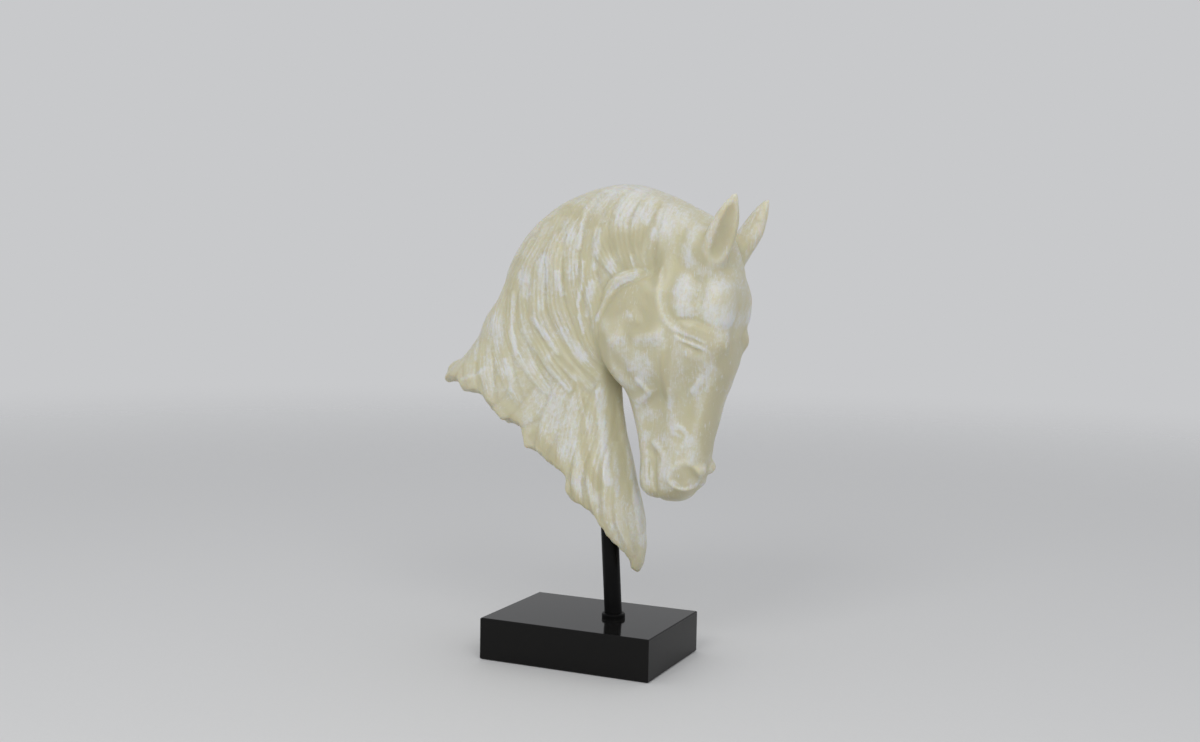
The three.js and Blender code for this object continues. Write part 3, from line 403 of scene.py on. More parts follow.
# %% Draw the locks into maps
LOCKS = [
    ([(78, 420), (76, 392), (68, 352)], 9.0, 2.8),
    ([(63, 424), (54, 392), (58, 360)], 9.5, 2.8),
    ([(50, 427), (36, 396), (47, 354)], 10.0, 3.2),
    ([(58, 352), (30, 343), (12, 306)], 6.4, 4.8),
    ([(36, 424), (14, 385), (33, 350)], 10.5, 3.0),
    ([(24, 420), (2, 372), (10, 330), (20, 290)], 10.5, 3.4),
    ([(10, 418), (-13, 372), (-6, 322), (18, 274)], 11.0, 3.4),
    ([(-6, 413), (-29, 362), (-17, 305), (15, 262)], 11.5, 3.8),
    ([(-22, 404), (-44, 350), (-32, 296), (6, 252)], 11.5, 3.4),
    ([(-38, 391), (-58, 343), (-47, 298), (-12, 250)], 11.5, 3.6),
    ([(-54, 376), (-72, 328), (-63, 286), (-34, 246)], 11.5, 3.4),
    ([(-68, 359), (-86, 314), (-78, 274), (-60, 236)], 11.5, 3.4),
    ([(-82, 340), (-98, 302), (-94, 264), (-84, 236)], 10.5, 3.0),
    ([(-94, 322), (-112, 286), (-112, 262), (-104, 242)], 10.0, 3.0),
    ([(-106, 302), (-126, 274), (-132, 256)], 9.0, 2.4),
    ([(-10, 262), (-24, 236), (-30, 200), (-34, 184)], 11.0, 2.4),
    ([(4, 258), (-6, 225), (-10, 188), (-12, 160)], 10.5, 2.6),
    ([(14, 254), (8, 215), (5, 175), (6, 145)], 8.5, 3.0),
    ([(22, 250), (18, 205), (19, 160), (24, 125)], 6.6, 2.8),
    ([(28, 246), (28, 200), (31, 150), (37, 110)], 5.8, 3.0),
    ([(33, 242), (36, 195), (41, 140), (46, 100)], 5.4, 2.6),
    ([(38, 236), (44, 185), (50, 120)], 5.0, 2.2),
    ([(-34, 248), (-48, 226), (-66, 212)], 11.0, 2.0),
    ([(-60, 240), (-74, 226), (-92, 222)], 9.0, 1.8),
]
MANE_HEIGHT = 0.78
RIDGE_HEIGHT = 0.7
STRAND_HEIGHT = 0.36
STRAND_WIDTH = 4.2
CELL = 0.8
MAP_X = np.arange(-175, 125, CELL)
MAP_Z = np.arange(70, 445, CELL)


def lock_map(x, z):
    """The locks' height, and the two measures of the strands: across and along a lock."""
    height = np.zeros(x.shape)
    across = np.zeros(x.shape)
    along = np.zeros(x.shape)
    # The points are moved about a little, so that no lock runs quite straight
    x = x + 1.6 * np.sin(0.05 * z + 0.02 * x) + 0.8 * np.sin(0.11 * z - 0.07 * x + 2)
    z = z + 1.6 * np.sin(0.06 * x + 1.3)
    for i, (points, half, top) in enumerate(LOCKS):
        chain = curve_through(points, 10)
        m = near_chain(x, z, chain, half)
        dist, t, side = to_chain(x[m], z[m], chain)
        width = half * (0.7 + 0.3 * step(0, 0.25, t)) * (1 - 0.45 * step(0.5, 1, t))
        crown = np.maximum(1 - (dist / width) ** 3, 0)
        uneven = 0.66 + 0.4 * np.sin(0.045 * x[m] + 1.7 * i) * np.sin(0.05 * z[m] + 0.9 * i)
        fade = (0.35 + 0.65 * step(0, 0.3, t)) * (1 - 0.55 * step(0.8, 1, t))
        rise = top * uneven * crown * fade
        wave = 2 * np.pi * dist * side / (STRAND_WIDTH + 0.5 * np.sin(i))
        strand = np.cos(wave + 2.1 * i + 3 * t)
        rise += STRAND_HEIGHT * np.minimum(1, 2 * crown) * strand
        wins = rise > height[m]
        height[m] = np.where(wins, rise, height[m])
        across[m] = np.where(wins, dist * side + 23 * i, across[m])
        along[m] = np.where(wins, 110 * t, along[m])
    # The locks are lower over two places at the bottom of the neck, and uneven everywhere
    calm = 1 - 0.5 * np.exp(-((x + 22) / 38) ** 2 - ((z - 205) / 40) ** 2)
    calm -= 0.4 * np.exp(-((x + 62) / 32) ** 2 - ((z - 260) / 34) ** 2)
    patchy = 0.85 + 0.35 * np.sin(0.071 * x + 0.05 * z + 1) * np.sin(0.063 * z - 0.04 * x)
    height = MANE_HEIGHT * height * calm * patchy + RIDGE_HEIGHT * paint_at(x, z, RIDGES)
    return np.stack([height, across, along])


grid_x, grid_z = np.meshgrid(MAP_X, MAP_Z, indexing="ij")
RIGHT_MAP = lock_map(grid_x, grid_z)
LEFT_MAP = lock_map(grid_x + 5 * np.sin(grid_z / 41) + 4, grid_z + 4 * np.sin(grid_x / 33))
LEFT_MAP[0] *= 0.8


def read_map(values, x, z):
    """A map's value between its four nearest points, by shares of the cell."""
    u = np.clip((x - MAP_X[0]) / CELL, 0, len(MAP_X) - 1.001)
    v = np.clip((z - MAP_Z[0]) / CELL, 0, len(MAP_Z) - 1.001)
    i = u.astype(int)
    j = v.astype(int)
    a = u - i
    b = v - j
    low = values[i, j] * (1 - a) + values[i + 1, j] * a
    high = values[i, j + 1] * (1 - a) + values[i + 1, j + 1] * a
    return low * (1 - b) + high * b


print("locks", len(LOCKS), "map", RIGHT_MAP.shape)

# %% [markdown]
# ## The head
#
# The head is tucked in towards the neck, with broad cheeks and a narrow muzzle. It has its own
# axes, so that its sizes can be read as on an upright head: s runs down the face from the
# poll, 0 to 246 mm, and d stands out of the face. The skull and the jaw are two plates with
# rounded edges in these axes, and the cheek, muzzle and chin are balls joined to them.

# %% Draw the head
POLL = (112.0, 392.0)
FACE_LENGTH = np.hypot(27, 232)
DOWN = (-27 / FACE_LENGTH, -232 / FACE_LENGTH)
OUT = (232 / FACE_LENGTH, -27 / FACE_LENGTH)
FACE_AT = [-40, -20, -4, 14, 28, 38, 48, 65, 91, 103, 115, 127, 147, 182, 200, 216, 232, 246]
FACE_LINE = [-70, -22, 7, 21, 29, 32.5, 34.5, 35, 35, 36.5, 36.5, 34, 29.5, 25, 23.5, 19.5, 9, -6]
SKULL_AT = [-30, -5, 12, 40, 70, 95, 112, 130, 150, 180, 205, 220, 234, 246]
SKULL_HALF = [16, 25, 29, 34, 38, 40, 37, 30.5, 25.5, 22, 24, 25, 21, 14]
JAW_AT = [40, 52, 70, 86, 100, 115, 130, 142, 153, 165, 178, 192, 208, 226, 238, 246]
JAW_LINE = [-48, -62, -77, -84, -85.5, -83.5, -77, -69, -61, -54.5, -49, -44, -39.5, -37, -31.5, -15]


def head_axes(x, z):
    """A point's s and d: its offset from the poll along each of the two axes."""
    rx = x - POLL[0]
    rz = z - POLL[1]
    return rx * DOWN[0] + rz * DOWN[1], rx * OUT[0] + rz * OUT[1]


def skull(s, d, y):
    """The upper plate: the face line in front, the skull's floor behind."""
    front = through(s, FACE_AT, FACE_LINE)
    floor = through(s, [-30, 0, 100, 150, 220, 246], [-60, -48, -38, -26, -20, -14])
    half = through(s, SKULL_AT, SKULL_HALF)
    rounding = through(s, [0, 50, 78, 92, 106, 122, 150, 246], [30, 25, 18, 16, 17, 21, 16, 15])
    q = (y / half) ** 2 + edge(front - d, rounding) ** 2 + edge(d - floor, 20) ** 2
    q += edge(245 - s, 16) ** 2 + edge(s + 26, 24) ** 2
    return (np.sqrt(q) - 1) * np.minimum(half, 22)


def jaw(s, d, y):
    """The lower plate, down to the line of the jaw."""
    line = through(s, JAW_AT, JAW_LINE)
    half = through(s, [40, 60, 100, 125, 150, 180, 210, 236, 246], [30, 35, 38, 35, 24, 17.5, 16.5, 16, 12])
    rounding = through(s, [50, 100, 140, 180, 240], [30, 30, 24, 14, 11])
    q = (y / half) ** 2 + edge(d - line, rounding) ** 2 + edge(12 - d, 22) ** 2
    q += edge(s - 38, 22) ** 2 + edge(244 - s, 10) ** 2
    return (np.sqrt(q) - 1) * np.minimum(half, 20)


print("face", FACE_AT[-1], "mm long from the poll")

# %% [markdown]
# The skin over the bones shows soft ridges, creases and hollows: the temple, the closed lids,
# the facial crest, the nostril and the lips. Each is a ridge or a hollow along a smooth line
# in (s, d), because a height with the shape of a bell runs out into the skin by itself. The
# table gives points, height, width, the least distance from the middle plane where it shows,
# and whether its ends fade.

# %% Name the features
FEATURES = [
    # Temple: the long ridge behind the eye, and the hollow inside it
    ([(36, -29), (47, -31), (62, -28), (76, -21), (88, -9), (97, 3)], 1.1, 3.2, 16, True),
    ([(42, -18), (54, -20), (68, -19), (80, -12), (86, -4)], -1.3, 5.4, 16, True),
    ([(38, 2), (50, 8), (60, 10), (68, 8)], -1.0, 6.0, 14, True),
    ([(46, -5), (56, -3), (64, -4)], 1.7, 9.0, 14, False),
    ([(40, 19), (55, 23), (68, 26)], 1.5, 10, 0, True),
    # Brow, the crease under it, the lids and the folds under the eye
    ([(76, -11), (70, 1), (70, 16), (73, 30), (80, 42)], 0.7, 8.0, 16, True),
    ([(80, -9), (78, 4), (80, 16), (85, 30)], -0.9, 2.4, 16, True),
    ([(90, -9), (94, 2), (96, 12), (98, 23)], -1.1, 1.7, 16, True),
    ([(93, -6), (97, 4), (99.5, 13), (101, 22)], 0.7, 1.6, 16, True),
    ([(98, 0), (102, 9), (104, 20)], -0.6, 1.6, 16, True),
    ([(105, 3), (110, 12), (108, 22)], 0.7, 4.5, 16, True),
    # Facial crest and the long hollows above and below it
    ([(100, -16), (118, -14), (138, -11), (160, -7)], 1.5, 5.0, 10, True),
    ([(118, 5), (145, 8), (174, 12)], -1.4, 8, 10, True),
    ([(128, -27), (158, -20), (188, -17)], -1.3, 6.5, 6, True),
    ([(126, 19), (134, 14), (144, 8)], 1.2, 3.0, 8, True),
    ([(110, 29), (150, 23), (192, 17)], 1.4, 5, 4, True),
    # The pad above the mouth with its rim
    ([(172, -8), (172, -1), (179, 8), (188, 8), (194, 3)], 0.8, 2.6, 8, True),
    ([(178, -3), (182, 1), (189, 0)], 1.6, 7.5, 8, False),
    # Nostril: rim, bowl and the raised lower lip of the rim
    ([(204, 14), (210, 23), (221, 22), (228, 13), (227, 3), (221, -2), (212, -1), (206, 5), (204, 14)],
     0.9, 2.5, 9, False),
    ([(212, 14), (220, 9)], -2.1, 7.5, 9, False),
    ([(222, -1), (226, 4), (228, 11), (226, 18)], 1.7, 1.5, 8, True),
    # Mouth: corner, line, and the folds of lip and chin
    ([(197, -28), (201, -21)], -1.0, 3.6, 0, False),
    ([(201, -22), (209, -18.5), (217, -17), (228, -15.5), (238, -15), (247, -14)], -0.7, 2.2, 0, False),
    ([(206, -28), (222, -26), (237, -20)], 1.2, 1.8, 0, True),
    ([(207, -33), (223, -31), (235, -26)], 1.0, 1.8, 0, True),
    ([(209, -23), (224, -21), (238, -17)], 1.1, 1.6, 0, True),
    ([(206, -13), (220, -11), (236, -9)], 1.1, 2.4, 0, True),
    ([(190, -27), (194, -20), (200, -12), (210, -8)], 1.3, 3.0, 4, True),
    # Jaw: the vein and hollow in front of the cheek, and lumps on it
    ([(140, -22), (151, -32), (164, -47)], 1.1, 4.5, 5, True),
    ([(136, -44), (141, -36), (150, -28)], 1.3, 2.6, 8, True),
    ([(118, -66), (133, -52), (141, -38)], -1.6, 6, 8, True),
    ([(80, -50), (86, -44)], 1.3, 5, 12, False),
    ([(106, -64), (101, -58)], 1.4, 5.5, 12, False),
    ([(99, -41), (95, -22)], 1.5, 6.5, 12, False),
    ([(84, -84), (100, -72), (118, -58)], 1.0, 7, 12, True),
]


def feature_height(s, d, y):
    """The sum of the features: each one's height times the bell of its distance."""
    total = np.zeros(s.shape)
    for points, height, width, least, fades in FEATURES:
        chain = curve_through(points, 4 * len(points) - 3) if len(points) > 2 else np.array(points, float)
        m = near_chain(s, d, chain, 3 * width)
        if not m.any():
            continue
        dist, t, _ = to_chain(s[m], d[m], chain)
        rise = height * np.exp(-((dist / width) ** 2))
        if fades:
            rise = rise * step(-0.1, 0.3, t) * step(1.1, 0.7, t)
        if least > 0:
            rise = rise * step(least - 6, least + 3, y[m])
        total[m] += rise
    return total


print("features", len(FEATURES))

# %% [markdown]
# The ears stand up and listen forward. An ear is a pointed leaf with a hollow that opens
# forward and outward. It is drawn in axes of its own, along, outward and across, from its
# base, so that it can be leaned without drawing it again. The whole sculpture is then the
# join of head, neck and ears, less the bore that the rod stands in.

# %% Draw the ears and put the form together
EAR_BASE = (121.0, 28.0, 364.0)
EAR_TIP = (147.0, 46.5, 418.0)
EAR_OPENS = (0.5, 0.86, -0.1)
EAR_AT = [-0.3, 0, 0.2, 0.4, 0.6, 0.8, 0.92, 1, 1.06]
EAR_HALF = [10.5, 11.4, 12.2, 12.6, 11.2, 7.8, 4.6, 2.6, 1.4]


def ear(x, y, z):
    """The leaf less its hollow, for the left ear; the right one is its mirror image."""
    base = np.array(EAR_BASE)
    axis = np.array(EAR_TIP) - base
    length = np.linalg.norm(axis)
    axis /= length
    opens = np.array(EAR_OPENS)
    opens -= axis * (opens @ axis)
    opens /= np.linalg.norm(opens)
    side = np.cross(axis, opens)
    p = (x - base[0], y - base[1], z - base[2])
    along = sum(a * b for a, b in zip(p, axis)) / length
    outward = sum(a * b for a, b in zip(p, opens)) + 2.5 * step(0.5, 1, along)
    across = sum(a * b for a, b in zip(p, side))
    half = through(along, EAR_AT, EAR_HALF)
    q = (across / half) ** 2 + (outward / (half * 0.74)) ** 2
    q += edge((1.03 - along) * length, 5) ** 2 + edge((along + 0.3) * length, 8) ** 2
    leaf = (np.sqrt(q) - 1) * np.minimum(half, 7)
    inner = np.maximum(half * 0.86, 0.5)
    q = (across / inner) ** 2 + ((outward - half) / (half * 0.74)) ** 2
    q += edge((0.93 - along) * length, 9) ** 2 + edge((along - 0.05) * length, 14) ** 2
    hollow = (np.sqrt(q) - 1) * np.minimum(inner, 6)
    return carve(leaf, hollow, 1.6)


ROD_FOOT = np.array([23.2, 0.0, 38.0])
ROD_LEAN = np.radians(3.76)
ROD_AXIS = np.array([-np.sin(ROD_LEAN), 0.0, np.cos(ROD_LEAN)])
ROD_RADIUS = 8.0
ROD_FREE = 86.2
ROD_IN_HEAD = 52.0
GAP = 0.3


def socket(x, y, z):
    """The bore that the rod stands in: a cylinder round the rod's axis with a flat end."""
    px = x - ROD_FOOT[0]
    pz = z - ROD_FOOT[2]
    along = px * ROD_AXIS[0] + pz * ROD_AXIS[2]
    off = np.hypot(px - along * ROD_AXIS[0], pz - along * ROD_AXIS[2])
    return np.maximum(np.hypot(off, y) - ROD_RADIUS - GAP, along - ROD_FREE - ROD_IN_HEAD - GAP)


# Balls of the head in (s, d, side): centre, radii and the width of the join or of the edge.
# Cheek, muzzle, chin, the upper rim of the nostril and the bone above the eye are joined.
FACE_BALLS = [
    ((98, -44, 24), (47, 42, 17), 9),
    ((213, 4, 11), (21, 16, 15), 8),
    ((229.5, -23.5, 0), (14, 13, 14), 6),
    ((209, 20, 12), (6, 6.3, 8), 4),
    ((67, 23, 24), (15, 10, 10), 13),
]
# The space between the jaws and the notch between the lips are carved.
FACE_HOLLOWS = [
    ((118, -92, 0), (62, 34, 11), 8),
    ((250, -15, 0), (5.5, 3, 16), 3),
]
EYE = (91, 17)
EYE_ACROSS = (0.943, -0.333)
EYE_ALONG = (0.333, 0.943)
# Balls of the whole in (x, z, side): the root of the ear, and the tuft at the rear end.
BODY_BALLS = [
    ((111, 374, 25), (14, 17, 12), 9),
    ((-140, 257, 0), (12.5, 9.5, 9), 8),
]
MANE_SINKS = 0.9


def face(s, d, side, carved=True):
    """The head without its ears: two plates, the balls joined to them, and the features."""
    shape = join(skull(s, d, side), jaw(s, d, side), 12)
    for centre, radii, width in FACE_BALLS:
        shape = join(shape, ball((s, d, side), centre, radii), width)
    for centre, radii, width in FACE_HOLLOWS:
        shape = carve(shape, ball((s, d, side), centre, radii), width)
    if carved:
        shape = shape - feature_height(s, d, side)
    lean = (s - EYE[0]) * EYE_ACROSS[0] + (d - EYE[1]) * EYE_ACROSS[1]
    run = (s - EYE[0]) * EYE_ALONG[0] + (d - EYE[1]) * EYE_ALONG[1]
    return join(shape, ball((lean, run, side), (0, 0, 28.5), (11, 19.5, 11)), 9)


def form(x, y, z):
    """The whole sculpture's distance in millimetres."""
    s, d = head_axes(x, z)
    side = np.abs(y)
    head = face(s, d, side)
    plate, to_cut, to_crest = neck(x, y, z)
    near = step(3, -3, y)
    mane = near * read_map(RIGHT_MAP[0], x, z) + (1 - near) * read_map(LEFT_MAP[0], x, z)
    mane = mane * step(3, 11, to_cut) * step(-1, 16, to_crest)
    mane = mane * (1 - 0.5 * step(80, 35, to_cut) * step(15, -25, x))
    whole = join(head, plate - mane + MANE_SINKS, 6 + 14 * step(60, 10, s) * step(-34, 10, s))
    for centre, radii, width in BODY_BALLS:
        whole = join(whole, ball((x, z, side), centre, radii), width)
    whole = join(whole, ear(x, side, z), 5)
    return np.maximum(whole, -socket(x, y, z))


print("ear", round(float(np.linalg.norm(np.subtract(EAR_TIP, EAR_BASE)))), "mm long")

# %% [markdown]
# ## From distances to a mesh
#
# Blender needs corners and faces. A rough mesh could be remeshed and displaced, but surface
# nets are a few steps on whole arrays and give even four-sided faces straight from the
# distances. The grid is fine only near the surface: blocks of four cells whose corner is far
# away keep that corner's distance. Each cell that the surface passes through gets one point,
# the mean of where its edges are crossed, and each crossed grid line gets a face of the four
# cells round it. Then two steps along the slope pull the points onto the surface.


# %% Mesh the form
def surface(fn, low, high, cell, block=4, pulls=2):
    """Corners and four-sided faces of the surface where fn is 0."""
    low = np.array(low, float)
    count = np.ceil((np.array(high) - low) / (cell * block)).astype(int) * block + 1
    axes = [low[i] + cell * np.arange(count[i]) for i in range(3)]
    coarse = np.meshgrid(*[a[::block] for a in axes], indexing="ij")
    far = fn(*[c.ravel() for c in coarse]).reshape(coarse[0].shape)
    close = np.abs(far) < 2.2 * cell * block
    m = [k - 1 for k in far.shape]
    corners = [(i, j, k) for i in (0, 1) for j in (0, 1) for k in (0, 1)]
    blocks = np.zeros(m, bool)
    for i, j, k in corners:
        blocks |= close[i : m[0] + i, j : m[1] + j, k : m[2] + k]
    value = far.repeat(block, 0).repeat(block, 1).repeat(block, 2)
    value = value[: count[0], : count[1], : count[2]].copy()
    fine = blocks.repeat(block, 0).repeat(block, 1).repeat(block, 2)
    need = np.zeros(count, bool)
    n = [k - 1 for k in count]
    for i, j, k in corners:
        need[i : n[0] + i, j : n[1] + j, k : n[2] + k] |= fine
    at = np.argwhere(need)
    value[need] = fn(*[axes[i][at[:, i]] for i in range(3)])
    inside = value < 0
    total = sum(inside[i : n[0] + i, j : n[1] + j, k : n[2] + k].astype(np.int8) for i, j, k in corners)
    crossed = (total > 0) & (total < 8)
    number = np.full(crossed.shape, -1)
    number[crossed] = np.arange(crossed.sum())
    cells = np.argwhere(crossed)
    place = np.zeros((len(cells), 3))
    hits = np.zeros(len(cells))
    for axis in range(3):
        others = [i for i in range(3) if i != axis]
        for a in (0, 1):
            for b in (0, 1):
                start = np.zeros(3, int)
                start[others] = (a, b)
                p = cells + start
                q = p.copy()
                q[:, axis] += 1
                f = value[tuple(p.T)]
                g = value[tuple(q.T)]
                cut = (f < 0) != (g < 0)
                where = np.tile(start.astype(float), (len(cells), 1))
                where[:, axis] += np.where(cut, f / np.where(cut, f - g, 1), 0)
                place[cut] += where[cut]
                hits[cut] += 1
    points = low + (cells + place / hits[:, None]) * cell
    faces = []
    for axis in range(3):
        b, c = [(1, 2), (2, 0), (0, 1)][axis]
        first = np.moveaxis(inside, axis, 0)
        lines = np.argwhere(np.moveaxis(first[:-1] != first[1:], 0, axis))
        ok = (lines[:, b] > 0) & (lines[:, c] > 0) & (lines[:, b] < n[b]) & (lines[:, c] < n[c])
        lines = lines[ok]

        def cell_at(db, dc):
            q = lines.copy()
            q[:, b] -= db
            q[:, c] -= dc
            return number[tuple(q.T)]

        quads = np.stack([cell_at(1, 1), cell_at(0, 1), cell_at(0, 0), cell_at(1, 0)], 1)
        turn = ~inside[tuple(lines.T)]
        quads[turn] = quads[turn][:, ::-1]
        faces.append(quads)
    for _ in range(pulls):
        here = fn(*points.T)
        slope = np.empty_like(points)
        for i in range(3):
            ahead = points.copy()
            behind = points.copy()
            ahead[:, i] += 0.25
            behind[:, i] -= 0.25
            slope[:, i] = (fn(*ahead.T) - fn(*behind.T)) / 0.5
        move = -(here / ((slope**2).sum(1) + 1e-6))[:, None] * slope
        size = np.maximum(np.linalg.norm(move, axis=1), 1e-9)
        points = points + move * np.minimum(1, 0.6 * cell / size)[:, None]
    return points, np.concatenate(faces)


CELL_SIZE = 1.66
corners, quads = surface(form, (-160, -62, 74), (158, 62, 440), CELL_SIZE)
print("head mesh", len(corners), "corners", len(quads), "faces", corners.min(0), corners.max(0))

# %% [markdown]
# A dry brush leaves paint on what stands out and misses the grooves, so the paint needs to know
# where the carving is raised. Rays could look for hollows, but smoothing is cheaper: a copy of
# the mesh is smoothed by taking each corner to the mean of its neighbours many times, and the
# height of the real corner over the smooth one, along its normal, is the relief.


# %% Measure the relief
def normals_of(points, faces):
    """Each corner's normal: the sum of the crossed diagonals of the faces round it."""
    a, b, c, d = (points[faces[:, i]] for i in range(4))
    cross = np.cross(c - a, d - b)
    total = np.zeros_like(points)
    for i in range(4):
        for k in range(3):
            total[:, k] += np.bincount(faces[:, i], cross[:, k], len(points))
    return total / np.maximum(np.linalg.norm(total, axis=1), 1e-12)[:, None]


def smoothed(values, faces, times):
    """Values after each corner has taken its neighbours' mean the given number of times."""
    start = faces.ravel()
    end = np.roll(faces, -1, 1).ravel()
    count = np.bincount(start, minlength=len(values)) + np.bincount(end, minlength=len(values))
    values = values.copy()
    for _ in range(times):
        total = np.empty_like(values)
        for k in range(values.shape[1]):
            total[:, k] = np.bincount(start, values[end, k], len(values))
            total[:, k] += np.bincount(end, values[start, k], len(values))
        values = 0.25 * values + 0.75 * total / count[:, None]
    return values


def lattice_noise(p, size, seed):
    """Smooth noise in -1 to 1: random numbers on a lattice, mixed over each cell."""
    table = np.random.default_rng(seed).uniform(-1, 1, (32, 32, 32))
    q = p / size
    i = np.floor(q).astype(int)
    f = q - i
    f = f * f * (3 - 2 * f)
    total = np.zeros(len(p))
    for dx in (0, 1):
        for dy in (0, 1):
            for dz in (0, 1):
                share = np.abs(1 - dx - f[:, 0]) * np.abs(1 - dy - f[:, 1]) * np.abs(1 - dz - f[:, 2])
                total += share * table[(i[:, 0] + dx) % 32, (i[:, 1] + dy) % 32, (i[:, 2] + dz) % 32]
    return total


# The hand-worked unevenness: height, size and seed of each noise. The bore stays true.
TOOLING = [(0.42, 15, 1), (0.22, 6.5, 2)]
normals = normals_of(corners, quads)
tooling = sum(height * lattice_noise(corners, size, seed) for height, size, seed in TOOLING)
in_bore = socket(*corners.T) < 0.4
corners = corners + normals * (tooling * ~in_bore)[:, None]
normals = normals_of(corners, quads)
fine_relief = ((corners - smoothed(corners, quads, 10)) * normals).sum(1)
broad_relief = ((corners - smoothed(corners, quads, 60)) * normals).sum(1)
print("relief from", broad_relief.min().round(2), "to", broad_relief.max().round(2))

# %% [markdown]
# A picture wrapped round the head would need seams, and numbers at the corners need none. Each
# corner gets the paint that lies there, how far it is from the cut edge, and a place measured
# along and across the hair, which is the head's own axes on the face and the lock's on the
# mane. The far side has the same strokes of paint, moved about a little.

# %% Colour the corners
x, y, z = corners.T
wander = 7 * lattice_noise(corners, 30, 3)
right_side = step(4, -6, y)
paint = right_side * cover_at(x, z) + (1 - right_side) * cover_at(x + wander + 3, z + wander)
s_at, d_at = head_axes(x, z)
plate, to_cut, _ = neck(x, y, z)
on_face = face(s_at, d_at, np.abs(y), False) < plate
across = np.where(y < 0, read_map(RIGHT_MAP[1], x, z), read_map(LEFT_MAP[1], x, z))
along = np.where(y < 0, read_map(RIGHT_MAP[2], x, z), read_map(LEFT_MAP[2], x, z))
comb = np.stack([np.where(on_face, d_at, across), np.where(on_face, s_at, along), y], 1)
print("paint covers", round(float((paint > 0.4).mean()), 3), "of the head")

# %% [markdown]
# ## The head as a piece
#
# Corners and faces go into Blender's mesh as whole arrays, in metres, and what was worked out
# for the corners goes along as attributes. The piece stands for the solid of the same casting.


# %% Make the head
def make_mesh(name, points, faces):
    """A mesh object at the origin from corners in millimetres and faces of equal size."""
    mesh = bpy.data.meshes.new(name)
    sides = faces.shape[1]
    mesh.vertices.add(len(points))
    mesh.vertices.foreach_set("co", (points / 1000).astype(np.float32).ravel())
    mesh.loops.add(faces.size)
    mesh.loops.foreach_set("vertex_index", faces.astype(np.int32).ravel())
    mesh.polygons.add(len(faces))
    mesh.polygons.foreach_set("loop_start", np.arange(0, faces.size, sides, dtype=np.int32))
    mesh.update(calc_edges=True)
    mesh.validate()
    mesh.polygons.foreach_set("use_smooth", np.full(len(mesh.polygons), True))
    piece = bpy.data.objects.new(name, mesh)
    bpy.context.scene.collection.objects.link(piece)
    return piece


def set_attribute(piece, name, values):
    """A number, or three, at each corner of a piece, which its material reads by name."""
    kind = "FLOAT" if values.ndim == 1 else "FLOAT_VECTOR"
    attribute = piece.data.attributes.new(name, kind, "POINT")
    field = "value" if values.ndim == 1 else "vector"
    attribute.data.foreach_set(field, values.astype(np.float32).ravel())


head = make_mesh("carved_head", corners, quads)
set_attribute(head, "paint", paint)
set_attribute(head, "comb", comb)
set_attribute(head, "to_cut", to_cut)
set_attribute(head, "fine_relief", fine_relief)
set_attribute(head, "broad_relief", broad_relief)
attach(head, "root")
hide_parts("horse_head")
print("head piece with", len(head.data.polygons), "faces")

# %% [markdown]
# ## The rod
#
# The rod is a plain round bar with its ends rounded a little. A cylinder would do for the
# middle, but a profile turned round the leaning axis gives the round ends in the same step.


# %% Make the rod
def turned(profile, foot, axis, sides=96):
    """A closed profile of (radius, height) turned round an axis: one ring for each point."""
    profile = np.array(profile, float)
    angle = 2 * np.pi * np.arange(sides) / sides
    u = np.cross(axis, [0.0, 1.0, 0.0])
    u /= np.linalg.norm(u)
    v = np.cross(axis, u)
    ring = np.cos(angle)[:, None] * u + np.sin(angle)[:, None] * v
    points = foot + profile[:, None, :1] * ring[None] + profile[:, None, 1:] * axis
    i = np.arange(len(profile))[:, None]
    j = np.arange(sides)[None]
    i2 = (i + 1) % len(profile)
    j2 = (j + 1) % sides
    corners = (i * sides + j, i * sides + j2, i2 * sides + j2, i2 * sides + j)
    faces = np.stack(np.broadcast_arrays(*corners), -1)
    return points.reshape(-1, 3), faces.reshape(-1, 4)


def arc(centre, radius, start, end, count):
    """Points of a profile on an arc, angles in degrees."""
    a = np.radians(np.linspace(start, end, count))
    return [(centre[0] + radius * np.cos(t), centre[1] + radius * np.sin(t)) for t in a]


ROD_IN_BASE = 14.0
ROD_EDGE = 0.5
low = -ROD_IN_BASE
high = ROD_FREE + ROD_IN_HEAD
inner = ROD_RADIUS - ROD_EDGE
rod_profile = [(0.02, low)] + arc((inner, low + ROD_EDGE), ROD_EDGE, -90, 0, 4)
rod_profile += [(ROD_RADIUS, h) for h in np.linspace(low + 2, high - 2, 24)]
rod_profile += arc((inner, high - ROD_EDGE), ROD_EDGE, 0, 90, 4) + [(0.02, high)]
rod_points, rod_faces = turned(rod_profile, ROD_FOOT, ROD_AXIS)
rod = make_mesh("satin_rod", rod_points, rod_faces)
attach(rod, "root")
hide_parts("rod")
print("rod piece with", len(rod.data.polygons), "faces")

# %% [markdown]
# ## Materials
#
# A value that varies over a surface is a socket. Nodes could be wired one by one, but then the
# sum that they stand for is hard to read. The class wraps a socket so that sums on it are
# written as Python writes them: each operator adds a Math node and gives its output.


